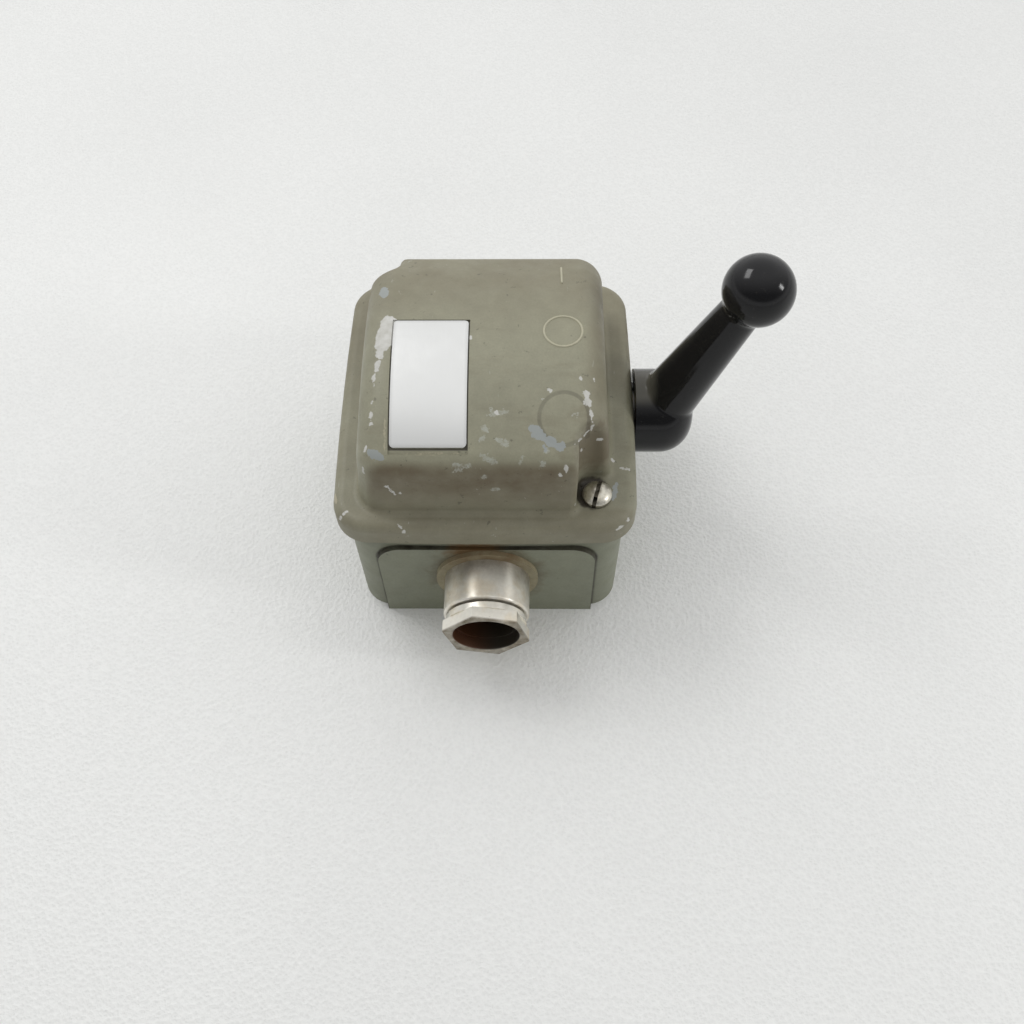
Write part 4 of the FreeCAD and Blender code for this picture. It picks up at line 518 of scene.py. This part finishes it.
def enamel(name, colour):
    """Satin enamel on a casting, with uneven tone and a fine orange peel."""
    finish = Finish(name)
    broad = finish.spread(finish.noise(26.0, 4.0, 0.55), 0.90, 1.08)
    mottle = finish.spread(finish.noise(240.0, 4.0, 0.6), 0.94, 1.05)
    speckle = finish.spread(finish.noise(1700.0, 3.0, 0.65), 0.94, 1.05)
    paint = finish.scaled(tuple(colour), finish.times(broad, mottle, speckle))
    normal = finish.bump(finish.noise(70.0, 2.0, 0.5), 0.5 * MM, 0.22)
    normal = finish.bump(finish.noise(620.0, 2.0, 0.5), 0.05 * MM, 0.3, normal)
    normal = finish.bump(finish.noise(3200.0, 2.0, 0.6), 0.012 * MM, 0.35, normal)
    rough = finish.spread(finish.noise(130.0, 4.0, 0.6), 0.40, 0.56)
    return finish, paint, rough, normal


def plate_margin(finish):
    """Distance in plan from the edge of the nameplate, below 0 on the plate."""
    low, high = PLATE_BOX
    x, y, _ = finish.axes()
    beside = finish.math("SUBTRACT", finish.off(x, (low.x + high.x) / 2), (high.x - low.x) / 2)
    along = finish.math("SUBTRACT", finish.off(y, (low.y + high.y) / 2), (high.y - low.y) / 2)
    return finish.math("MAXIMUM", beside, along)


def cover_film(finish, patchy):
    """Brown film: the crown's rear and side, the hood's foot and the scoop; on the front wall,
    brown film and painted shade below the shoulder.
    """
    x, y, z = finish.axes()
    cloudy = finish.spread(finish.noise(34.0, 4.0, 0.6), 0.0, 1.0)
    smears = finish.noise(170.0, 4.0, 0.65, place=finish.stretched(0.25, 1.0, 1.0))
    smears = finish.step(smears, 0.50, 0.70)
    rear = finish.times(finish.step(y, *CROWN_REAR_Y), patchy, 0.5)
    side = finish.times(finish.step(x, *CROWN_SIDE_X), finish.step(z, *CROWN_SIDE_Z),
                        finish.spread(cloudy, 0.3, 1.0, 0.0, 1.0), 0.62)
    # Front wall: brown film and painted shade below the shoulder
    wall = finish.times(finish.step(y, *FRONT_WALL_Y), finish.step(z, *FRONT_WALL_Z, 0.4, 1.0),
                        patchy)
    foot = finish.times(finish.step(z, *HOOD_FOOT_Z), finish.step(x, *CLEAN_RIM_X), cloudy, 0.30)
    scoop = finish.times(finish.near(SCOOP, 6 * MM, 17 * MM, 4 * MM), 0.75)
    return finish.most(rear, side, wall, foot, scoop, finish.times(smears, 0.16))


def cover_dirt_and_shade(finish, marks, patchy):
    """Painted shadow round the front screw, dark lines beside the plate and round the disc, and
    black dirt in small specks.
    """
    _, _, z = finish.axes()
    crown = finish.step(z, *CROWN_EDGE_Z)
    margin = finish.times(finish.step(plate_margin(finish), 0.55 * MM, 0.15 * MM), crown, 0.85)
    # Painted shadow in the front screw's counterbore
    pocket_shadow = finish.times(finish.near(SCREW_POCKET, 4.9 * MM, 6.2 * MM, 0.5 * MM, 500.0),
                          finish.step(z, *SCREW_POCKET_Z), 0.92)
    away = finish.distance(finish.stretched(1.0, 1.0, 0.0), (marks.across, marks.disc_along, 0.0))
    line = finish.off(away, marks.disc_radius)
    disc = finish.times(finish.step(line, 0.75 * MM, 0.35 * MM), crown, patchy, 0.4)
    specks = finish.times(finish.step(finish.noise(420.0, 3.0, 0.7), 0.65, 0.71), 0.4)
    return finish.most(margin, pocket_shadow, disc, specks)


def cover_enamel(finishes, marks):
    """The cover's enamel: dark dirt and painted shadow in the hollows, chips down to primer and
    undercoat, scuffs.
    """
    finish, paint, rough, normal = enamel("cover_enamel", finishes.cover_paint)
    patchy = finish.spread(finish.noise(90.0, 5.0, 0.6), 0.45, 1.0)
    # The film mask also holds the painted shade on the front wall
    film = cover_film(finish, patchy)
    colour = finish.mix(film, paint, tuple(finishes.film))
    dirt_and_shade = cover_dirt_and_shade(finish, marks, patchy)
    colour = finish.mix(dirt_and_shade, colour, tuple(finishes.grime_and_shade))

    # Scuffs, rubbed edges and a painted highlight along the plate's recess, then chips to the
    # undercoat and to the primer
    scuffs = finish.strokes(SCUFFS, 0.6 * MM, 0.45 * MM)
    scuffs = finish.times(scuffs, finish.spread(finish.noise(900.0, 3.0, 0.6), 0.2, 0.9))
    hairs = finish.noise(520.0, 3.0, 0.6, 0.4, place=finish.stretched(1.0, 0.09, 1.0))
    hairs = finish.times(finish.step(hairs, 0.70, 0.73), 0.45)
    colour = finish.mix(finish.most(scuffs, hairs), colour, tuple(finishes.scuff))
    rubbed_and_highlight = finish.times(finish.strokes(RUBBED_EDGES_AND_HIGHLIGHTS, 0.2 * MM, 0.15 * MM), 0.7)
    colour = finish.mix(rubbed_and_highlight, colour, tuple(finishes.rubbed_and_highlight))
    under = finish.strokes(UNDERCOAT_CHIPS, 0.4 * MM, 0.25 * MM)
    colour = finish.mix(finish.times(under, 0.85), colour, tuple(finishes.undercoat))
    flecks = finish.times(finish.step(finish.noise(310.0, 5.0, 0.75), 0.70, 0.72), 0.6)
    bare = finish.strokes(PRIMER_CHIPS, 0.45 * MM, 0.2 * MM)
    stain = finish.spread(finish.noise(520.0, 4.0, 0.65), 0.0, 0.35)
    primer = finish.mix(stain, tuple(finishes.primer), colour)
    colour = finish.mix(finish.most(bare, flecks), colour, primer)

    rough = finish.math("ADD", rough, finish.times(finish.most(bare, film), 0.15))
    finish.set(Base_Color=colour, Roughness=rough, Normal=normal, Specular_IOR_Level=0.45)
    return finish.material


def base_enamel(finishes):
    """The base's enamel, with rusty stains round the gland, darker just under the cover, and a
    painted shadow round the raised panel.
    """
    finish, paint, rough, normal = enamel("base_enamel", finishes.base_paint)
    x, y, z = finish.axes()
    middle = (0.0, WASHER_FRONT_Y, GLAND_AXIS_Z)
    front = finish.step(y, *PANEL_FRONT_Y)
    stain = finish.times(finish.near(middle, 15 * MM, 21 * MM, 3 * MM, 170.0), front, 0.6)
    rust = finish.times(finish.near(RUST_SPOT, 3 * MM, 13 * MM, 4 * MM, 210.0), front, 0.75)
    # Darker just under the cover's rim
    under = finish.times(finish.step(z, *UNDER_COVER_Z), 0.55)
    spots = finish.times(finish.step(finish.noise(380.0, 3.0, 0.7), 0.68, 0.72), 0.3)

    # Painted shadow: a dark line in the gap round the raised panel
    beside = finish.past(finish.math("ABSOLUTE", x), PANEL_HALF - PANEL_CORNER)
    above = finish.past(z, PANEL_TOP - PANEL_CORNER)
    outline = finish.math("SUBTRACT", finish.slant(beside, above), PANEL_CORNER)
    panel_shadow = finish.times(finish.step(outline, 1.1 * MM, 0.3 * MM),
                         finish.step(outline, -0.25 * MM, -0.05 * MM), front,
                         finish.spread(finish.noise(130.0, 3.0, 0.6), 0.55, 1.0))

    colour = finish.mix(stain, paint, tuple(finishes.film))
    colour = finish.mix(finish.most(under, spots, panel_shadow), colour, tuple(finishes.grime_and_shade))
    colour = finish.mix(rust, colour, tuple(finishes.rust))
    finish.set(Base_Color=colour, Roughness=rough, Normal=normal, Specular_IOR_Level=0.4)
    return finish.material


def metal(name, colour, worn, rough, scale=220.0, share=0.4):
    """A plated metal that shows a second tone where it is worn, and its colour so far."""
    finish = Finish(name)
    patch = finish.step(finish.noise(scale, 5.0, 0.62), 0.46, 0.64)
    tone = finish.spread(finish.noise(900.0, 3.0, 0.6), 0.9, 1.08)
    blend = finish.mix(finish.math("MULTIPLY", patch, share), tuple(colour), tuple(worn))
    plating = finish.scaled(blend, tone)
    uneven = finish.spread(finish.noise(480.0, 4.0, 0.6), rough * 0.8, rough * 1.4)
    normal = finish.bump(finish.noise(1500.0, 3.0, 0.6), 0.01 * MM, 0.5)
    finish.set(Base_Color=plating, Roughness=uneven, Normal=normal, Metallic=1.0)
    return finish, plating


def moulding(name, colour, rough):
    """A moulded or pressed piece with uneven tone."""
    finish = Finish(name)
    tone = finish.spread(finish.noise(MOULDING_GRAIN, 4.0, 0.6), 0.8, 1.2)
    uneven = finish.spread(finish.noise(MOULDING_GRAIN * 3, 3.0, 0.6),
                           rough * 0.85, min(1.0, rough * 1.2))
    normal = finish.bump(finish.noise(MOULDING_GRAIN * 5, 3.0, 0.6), 0.02 * MM, 0.5)
    finish.set(Base_Color=finish.scaled(tuple(colour), tone), Roughness=uneven, Normal=normal)
    return finish.material


class SWITCH_OT_paint_case(bpy.types.Operator):
    """Enamel on the cover and the base"""

    bl_idname = "switch.paint_case"
    bl_label = "Paint the case"

    def execute(self, context):
        finishes = context.scene.switch_finishes
        give(cover_enamel(finishes, context.scene.switch_marks), "cover")
        give(base_enamel(finishes), "base_housing")
        give(moulding("gasket", finishes.gasket, 0.7), "cover_gasket")
        return {"FINISHED"}


class SWITCH_OT_finish_plate(bpy.types.Operator):
    """Bare satin sheet for the nameplate"""

    bl_idname = "switch.finish_plate"
    bl_label = "Finish the plate"

    def execute(self, context):
        finishes = context.scene.switch_finishes
        finish = Finish("plate_sheet")
        brushed = finish.noise(3800.0, 3.0, 0.6, place=finish.stretched(1.0, 0.04, 1.0))
        tone = finish.times(finish.spread(brushed, 0.985, 1.015),
                            finish.spread(finish.noise(45.0, 3.0), 0.98, 1.02))
        dull = finish.step(plate_margin(finish), -1.1 * MM, 0.0, 1.0, 0.86)
        spots = finish.times(finish.step(finish.noise(600.0, 4.0, 0.7), 0.69, 0.76), 0.10)
        sheet = finish.scaled(tuple(finishes.plate), finish.times(tone, dull))
        rough = finish.spread(finish.noise(300.0, 4.0, 0.6), 0.20, 0.26)
        finish.set(Base_Color=finish.mix(spots, sheet, tuple(finishes.plate_spots)),
                   Roughness=rough, Normal=finish.bump(brushed, 0.006 * MM, 0.5), Metallic=1.0)
        give(finish.material, "nameplate")
        return {"FINISHED"}


class SWITCH_OT_finish_lever(bpy.types.Operator):
    """Glossy black moulding for the lever, scratched, with dust and a painted sheen on its hub's
    top
    """

    bl_idname = "switch.finish_lever"
    bl_label = "Finish the lever"

    def execute(self, context):
        finishes = context.scene.switch_finishes
        finish = Finish("lever_black")
        scratched = finish.strokes(LEVER_SCRATCHES, 0.3 * MM, 0.2 * MM)
        scratched = finish.times(scratched, finish.spread(finish.noise(700.0, 3.0, 0.6), 0.1, 0.9))
        dust = finish.times(finish.step(finish.noise(820.0, 4.0, 0.7), 0.60, 0.76), 0.35)
        x, y, z = finish.axes()
        # Dust and painted sheen on the hub's top
        hub_top_dust_and_sheen = finish.times(finish.step(z, *HUB_TOP_Z), finish.step(x, *HUB_TOP_X),
                             finish.step(y, *HUB_TOP_Y))
        dust_and_sheen = finish.most(finish.times(dust, 0.5), finish.times(hub_top_dust_and_sheen, 0.9))
        colour = finish.mix(dust_and_sheen, tuple(finishes.lever), tuple(finishes.dust))
        colour = finish.mix(scratched, colour, tuple(finishes.scratch))
        gloss = finish.spread(finish.noise(190.0, 5.0, 0.65), 0.07, 0.18)
        rough = finish.math("ADD", gloss, finish.times(finish.most(dust, scratched), 0.3))
        normal = finish.bump(finish.noise(120.0, 3.0, 0.5), 0.06 * MM, 0.3)
        normal = finish.bump(finish.noise(1300.0, 3.0, 0.6), 0.008 * MM, 0.4, normal)
        finish.set(Base_Color=colour, Roughness=rough, Normal=normal, Specular_IOR_Level=0.32)
        give(finish.material, "lever")
        return {"FINISHED"}


def nickel_finish(name, finishes, rough, turned):
    """Nickel plating worn warm, dark in the bore and dull at its foot and on the nut's face."""
    finish = Finish(name)
    x, y, z = finish.axes()
    radius = finish.slant(x, finish.math("SUBTRACT", z, GLAND_AXIS_Z))
    bore = finish.step(radius, GLAND_BORE + 0.1 * MM, GLAND_BORE - 0.1 * MM)
    patchy = finish.spread(finish.noise(260.0, 4.0, 0.6), 0.55, 1.0)
    foot = finish.times(finish.step(y, *GLAND_FOOT_Y), patchy, 0.7)
    face = finish.times(finish.step(y, *NUT_FACE_Y), patchy, 0.95)
    warm = finish.step(finish.noise(110.0, 4.0, 0.6), 0.45, 0.68)
    tarnish = finish.step(finish.noise(330.0, 5.0, 0.7), 0.65, 0.71)
    colour = finish.mix(finish.times(warm, 0.6), tuple(finishes.nickel), tuple(finishes.brass))
    film = finish.most(finish.times(tarnish, 0.3), foot, face)
    colour = finish.mix(film, colour, tuple(finishes.film))
    lining = finish.mix(finish.step(x, *BORE_DARK_X), tuple(finishes.bore_rust),
                        tuple(finishes.grime_and_shade))
    tone = finish.spread(finish.noise(900.0, 3.0, 0.6), 0.95, 1.04)
    colour = finish.scaled(finish.mix(bore, colour, lining), tone)
    bare = finish.math("SUBTRACT", 1.0, finish.times(bore, 0.85))
    uneven = finish.spread(finish.noise(520.0, 4.0, 0.6), 0.85 * rough, 1.2 * rough)
    uneven = finish.math("ADD", uneven, finish.times(finish.most(bore, tarnish), 0.2))
    rings = finish.noise(1500.0, 2.0, 0.5, place=finish.stretched(0.03, 1.0, 0.03))
    normal = finish.bump(rings, 0.006 * MM, 0.25)
    normal = finish.bump(finish.noise(420.0, 3.0, 0.6), 0.010 * MM, 0.25, normal)
    finish.set(Base_Color=colour, Metallic=bare, Roughness=uneven, Normal=normal)
    if turned:
        around = finish.node("ShaderNodeTangent", direction_type="RADIAL", axis="Y")
        finish.set(Tangent=around.outputs["Tangent"], Anisotropic=turned,
                   Anisotropic_Rotation=0.25)
    return finish.material


def fibre_finish(finishes):
    """Pressed fibre, tan, stained rusty along its top."""
    finish = Finish("fibre_washer")
    _, _, z = finish.axes()
    top = finish.times(finish.step(z, GLAND_AXIS_Z + 4 * MM, GLAND_AXIS_Z + 15 * MM),
                       finish.spread(finish.noise(240.0, 4.0, 0.6), 0.3, 1.0))
    tone = finish.spread(finish.noise(500.0, 4.0, 0.6), 0.85, 1.12)
    fibre = finish.scaled(tuple(finishes.fibre), tone)
    finish.set(Base_Color=finish.mix(finish.times(top, 0.75), fibre, tuple(finishes.rust)),
               Normal=finish.bump(finish.noise(2100.0, 3.0, 0.6), 0.03 * MM, 0.5),
               Roughness=finish.spread(finish.noise(700.0, 3.0, 0.6), 0.55, 0.8))
    return finish.material


class SWITCH_OT_finish_gland(bpy.types.Operator):
    """Worn nickel for the gland, fibre for its washer and rubber for its seal"""

    bl_idname = "switch.finish_gland"
    bl_label = "Finish the gland"

    def execute(self, context):
        finishes = context.scene.switch_finishes
        turned = nickel_finish("gland_turned", finishes, 0.40, 0.75)
        milled = nickel_finish("gland_milled", finishes, 0.33, 0.0)
        give(turned, "gland_body", "gland_thrust_ring")
        give(milled, "gland_nut", "gland_locknut")
        give(fibre_finish(finishes), "gland_washer")
        give(moulding("seal_rubber", finishes.seal, 0.8), "gland_seal")
        return {"FINISHED"}


class SWITCH_OT_finish_screws(bpy.types.Operator):
    """Dulled plating for the screws, with dirt and painted shade in their slots, and darker at the
    foot of their heads
    """

    bl_idname = "switch.finish_screws"
    bl_label = "Finish the screws"

    def execute(self, context):
        finishes = context.scene.switch_finishes
        finish, plating = metal("screw_plating", finishes.steel, finishes.worn_steel, 0.36,
                                420.0, 0.6)
        _, _, z = finish.axes()
        # Darker at the foot of the heads
        dirt_and_shade = finish.times(finish.step(z, RIM_TOP + 1.2 * MM, RIM_TOP), 0.7)
        # A dark line across each slot: dirt and painted shade in the slot
        for middle, turn in SCREW_SLOTS:
            offset = finish.vector("SUBTRACT", finish.place, tuple(middle)).outputs["Vector"]
            across = finish.vector("DOT_PRODUCT", offset, (math.cos(turn), math.sin(turn), 0.0))
            away = finish.math("ABSOLUTE", across.outputs["Value"])
            slot = finish.step(away, SCREW_SLOT / 2 + 0.08 * MM, SCREW_SLOT / 2 - 0.05 * MM)
            slot = finish.times(slot, finish.near(middle, 5 * MM, 6 * MM))
            dirt_and_shade = finish.most(dirt_and_shade, slot)
        dirt_and_shade = finish.times(dirt_and_shade, 0.9)
        finish.set(Base_Color=finish.mix(dirt_and_shade, plating, tuple(finishes.grime_and_shade)))
        give(finish.material, *OUTER_SCREWS)
        return {"FINISHED"}


# Inside the case, by material slot: colour, worn colour and roughness of the metals
INSIDE_METALS = {
    "shaft_steel": ((0.50, 0.50, 0.50), (0.35, 0.34, 0.32), 0.28),
    "spring_steel": ((0.34, 0.34, 0.36), (0.22, 0.22, 0.26), 0.25),
    "screw_steel": ((0.52, 0.51, 0.48), (0.36, 0.33, 0.28), 0.33),
    "sheet_steel": ((0.52, 0.52, 0.50), (0.40, 0.39, 0.36), 0.36),
    "bush_brass": ((0.62, 0.47, 0.22), (0.42, 0.30, 0.14), 0.30),
    "terminal_brass": ((0.62, 0.47, 0.22), (0.45, 0.33, 0.15), 0.30),
    "contact_copper": ((0.62, 0.37, 0.22), (0.40, 0.22, 0.13), 0.32),
}
# The same for the mouldings: colour and roughness
INSIDE_MOULDINGS = {
    "felt": ((0.28, 0.27, 0.25), 0.95),
    "barrier_board": ((0.22, 0.13, 0.07), 0.7),
    "deck_plastic": ((0.055, 0.033, 0.024), 0.42),
    "cam_plastic": ((0.30, 0.27, 0.20), 0.5),
}


class SWITCH_OT_finish_inside(bpy.types.Operator):
    """Metals and mouldings for the pieces inside the case"""

    bl_idname = "switch.finish_inside"
    bl_label = "Finish the inside"

    def execute(self, context):
        made = {}
        for slot, (colour, worn, rough) in INSIDE_METALS.items():
            made[slot] = metal(slot + "_inside", colour, worn, rough)[0].material
        for slot, (colour, rough) in INSIDE_MOULDINGS.items():
            made[slot] = moulding(slot + "_inside", colour, rough)
        for node, slot in SLOT_OF.items():
            if slot in made and node not in OUTER_SCREWS:
                give(made[slot], node)
        return {"FINISHED"}


def cover_tree():
    """The cover's faces, to lay marks on."""
    return BVHTree.FromObject(frame["nodes"]["cover"], bpy.context.evaluated_depsgraph_get())


def cover_spot(tree, x, y):
    """Place on the cover's top over a place in plan, and the upward part of its normal there."""
    spot, normal, _, _ = tree.ray_cast(Vector((x, y, ABOVE_COVER)), Vector((0, 0, -1)))
    if spot is None:
        raise RuntimeError("a mark lies beside the cover")
    return spot, abs(normal.z)


def bead_section():
    """A half round section with a foot below the surface, as shares of half width and height."""
    turns = [math.pi * step / BEAD_STEPS for step in range(BEAD_STEPS + 1)]
    return [(1.0, BEAD_FOOT), *((math.cos(turn), math.sin(turn)) for turn in turns),
            (-1.0, BEAD_FOOT)]


def bead(name, tree, path, closed, marks, material):
    """A raised line of half round section along a path in plan, laid on the cover."""
    section = bead_section()
    mesh = bmesh.new()
    rings = []
    count = len(path)
    for index, (x, y) in enumerate(path):
        before = path[index - 1] if closed or index else path[index]
        after = path[(index + 1) % count] if closed or index < count - 1 else path[index]
        along = (Vector(after) - Vector(before)).normalized()
        across = Vector((-along.y, along.x))
        ring = []
        for sideways, up in section:
            plan = Vector((x, y)) + across * sideways * marks.bead_width
            spot, _ = cover_spot(tree, plan.x, plan.y)
            ring.append(mesh.verts.new(spot + Vector((0, 0, up * marks.bead_height))))
        rings.append(ring)
    size = len(section)
    for index in range(count if closed else count - 1):
        first, second = rings[index], rings[(index + 1) % count]
        for place in range(size):
            after = (place + 1) % size
            mesh.faces.new((first[place], second[place], second[after], first[after]))
    if not closed:
        mesh.faces.new(rings[0])
        mesh.faces.new(rings[-1][::-1])
    bmesh.ops.recalc_face_normals(mesh, faces=mesh.faces)
    data = bpy.data.meshes.new(name)
    mesh.to_mesh(data)
    mesh.free()
    for face in data.polygons:
        face.use_smooth = True
    piece = bpy.data.objects.new(name, data)
    bpy.context.collection.objects.link(piece)
    data.materials.append(material)
    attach(piece, "housing")


def ring_path(x, y, radius):
    """A circle in plan."""
    turns = [2 * math.pi * step / RING_STEPS for step in range(RING_STEPS)]
    return [(x + radius * math.cos(turn), y + radius * math.sin(turn)) for turn in turns]


def crown_part(tree, path):
    """The run of a closed path that lies on the crown, and whether that is all of it."""
    kept = [cover_spot(tree, x, y)[1] > LEAST_UPWARD for x, y in path]
    if all(kept):
        return path, True
    count = len(path)
    start = next(index for index in range(count) if kept[index] and not kept[index - 1])
    order = [(start + step) % count for step in range(count)]
    run = next(step for step, index in enumerate(order) if not kept[index])
    return [path[index] for index in order[:run]], False


class SWITCH_OT_raise_marks(bpy.types.Operator):
    """The raised off ring, on bar and blank disc on the cover"""

    bl_idname = "switch.raise_marks"
    bl_label = "Raise the marks"

    def execute(self, context):
        marks = context.scene.switch_marks
        tree = cover_tree()
        finish, paint, rough, normal = enamel("mark_enamel", context.scene.switch_finishes.mark)
        finish.set(Base_Color=paint, Roughness=rough, Normal=normal)
        off = ring_path(marks.across, marks.off_along, marks.off_radius)
        bead("mark_off", tree, off, True, marks, finish.material)
        disc = ring_path(marks.across, marks.disc_along, marks.disc_radius)
        disc, whole = crown_part(tree, disc)
        painted = frame["nodes"]["cover"].material_slots[0].material
        bead("mark_disc", tree, disc, whole, marks, painted)
        start = marks.on_along - marks.on_length / 2
        bar = [(marks.across, start + marks.on_length * step / BAR_STEPS)
               for step in range(BAR_STEPS + 1)]
        bead("mark_on", tree, bar, False, marks, finish.material)
        return {"FINISHED"}


class SWITCH_OT_set_stage(bpy.types.Operator):
    """The floor, the lamps, the room light and the camera"""

    bl_idname = "switch.set_stage"
    bl_label = "Set the stage"

    def execute(self, context):
        stage = context.scene.switch_stage
        self.lay_floor(stage)
        self.hang_lamps(stage)
        self.light_room(context, stage)
        self.place_camera(context, stage)
        context.scene.view_settings.view_transform = "Standard"
        return {"FINISHED"}

    def lay_floor(self, stage):
        """A pale foam sheet with a fine grain."""
        mesh = bmesh.new()
        bmesh.ops.create_grid(mesh, x_segments=2, y_segments=2, size=FLOOR_HALF)
        data = bpy.data.meshes.new("floor")
        mesh.to_mesh(data)
        mesh.free()
        floor = bpy.data.objects.new("floor", data)
        bpy.context.collection.objects.link(floor)
        finish = Finish("foam_sheet")
        cells = finish.cells(780.0)
        broad = finish.spread(finish.noise(7.0, 3.0, 0.5), 0.97, 1.02)
        tone = finish.times(finish.spread(cells, 0.97, 1.02, 0.1, 0.8), broad)
        normal = finish.bump(finish.noise(45.0, 3.0, 0.6), 0.5 * MM, 0.2)
        normal = finish.bump(cells, 0.35 * MM, 0.5, normal)
        normal = finish.bump(finish.noise(1900.0, 3.0, 0.65), 0.3 * MM, 0.6, normal)
        finish.set(Base_Color=finish.scaled(tuple(stage.floor), tone), Roughness=0.38,
                   Normal=normal)
        data.materials.append(finish.material)

    def hang_lamps(self, stage):
        """Soft lamps that face the switch."""
        for name, place, width, height, power in LAMPS:
            lamp = bpy.data.lights.new(name, "AREA")
            lamp.shape = "RECTANGLE"
            lamp.size = width
            lamp.size_y = height
            lamp.energy = getattr(stage, power)
            holder = bpy.data.objects.new(name, lamp)
            holder.location = place
            facing = (LAMP_TARGET - Vector(place)).to_track_quat("-Z", "Y")
            holder.rotation_euler = facing.to_euler()
            bpy.context.collection.objects.link(holder)

    def light_room(self, context, stage):
        """Bright above and behind, dim towards the viewer, pale along the horizon."""
        world = bpy.data.worlds.new("room")
        world.use_nodes = True
        graph = Graph(world.node_tree)
        direction = graph.node("ShaderNodeTexCoord").outputs["Generated"]
        bright = graph.vector("DOT_PRODUCT", direction, BRIGHT_SIDE).outputs["Value"]
        _, _, up = graph.parts(direction)
        sky = graph.spread(bright, *SKY_LIGHT)
        horizon = graph.spread(up, *HORIZON_LIGHT)
        background = world.node_tree.nodes["Background"]
        background.inputs["Color"].default_value = (1.0, 1.0, 1.0, 1.0)
        graph.feed(background.inputs["Strength"],
                   graph.times(graph.most(sky, horizon), stage.room_light))
        context.scene.world = world

    def place_camera(self, context, stage):
        """A camera at the photograph's place."""
        data = bpy.data.cameras.new("camera")
        data.sensor_width = SENSOR_WIDTH
        data.lens = stage.camera_lens
        data.clip_start = CLIP_START
        data.clip_end = CLIP_END
        camera = bpy.data.objects.new("camera", data)
        yaw = Matrix.Rotation(stage.camera_yaw, 4, "Z")
        pitch = Matrix.Rotation(math.pi / 2 - stage.camera_pitch, 4, "X")
        roll = Matrix.Rotation(stage.camera_roll, 4, "Z")
        camera.matrix_world = Matrix.Translation(stage.camera_place) @ yaw @ pitch @ roll
        bpy.context.collection.objects.link(camera)
        context.scene.camera = camera


OPERATORS = (
    SWITCH_OT_paint_case,
    SWITCH_OT_finish_plate,
    SWITCH_OT_finish_lever,
    SWITCH_OT_finish_gland,
    SWITCH_OT_finish_screws,
    SWITCH_OT_finish_inside,
    SWITCH_OT_raise_marks,
    SWITCH_OT_set_stage,
)


class SWITCH_PT_sidebar(bpy.types.Panel):
    """The sizes, colours and steps of the switch"""

    bl_label = "Enclosed cam switch"
    bl_idname = "SWITCH_PT_sidebar"
    bl_space_type = "VIEW_3D"
    bl_region_type = "UI"
    bl_category = "Switch"

    def draw(self, context):
        scene = context.scene
        for group in (scene.switch_finishes, scene.switch_marks, scene.switch_stage):
            box = self.layout.box()
            for name in group.bl_rna.properties.keys():
                if name not in ("rna_type", "name"):
                    box.prop(group, name)
        for operator in OPERATORS:
            self.layout.operator(operator.bl_idname)


CLASSES = (SwitchFinishes, SwitchMarks, SwitchStage, *OPERATORS, SWITCH_PT_sidebar)


def register():
    """Register the classes and the scene's property groups."""
    for item in CLASSES:
        bpy.utils.register_class(item)
    bpy.types.Scene.switch_finishes = PointerProperty(type=SwitchFinishes)
    bpy.types.Scene.switch_marks = PointerProperty(type=SwitchMarks)
    bpy.types.Scene.switch_stage = PointerProperty(type=SwitchStage)


def unregister():
    """Remove what register added."""
    del bpy.types.Scene.switch_stage
    del bpy.types.Scene.switch_marks
    del bpy.types.Scene.switch_finishes
    for item in reversed(CLASSES):
        bpy.utils.unregister_class(item)


def main():
    """Dress the switch."""
    register()
    bpy.ops.switch.paint_case()
    bpy.ops.switch.finish_plate()
    bpy.ops.switch.finish_lever()
    bpy.ops.switch.finish_gland()
    bpy.ops.switch.finish_screws()
    bpy.ops.switch.finish_inside()
    bpy.ops.switch.raise_marks()
    bpy.ops.switch.set_stage()


if __name__ == "__main__":
    main()
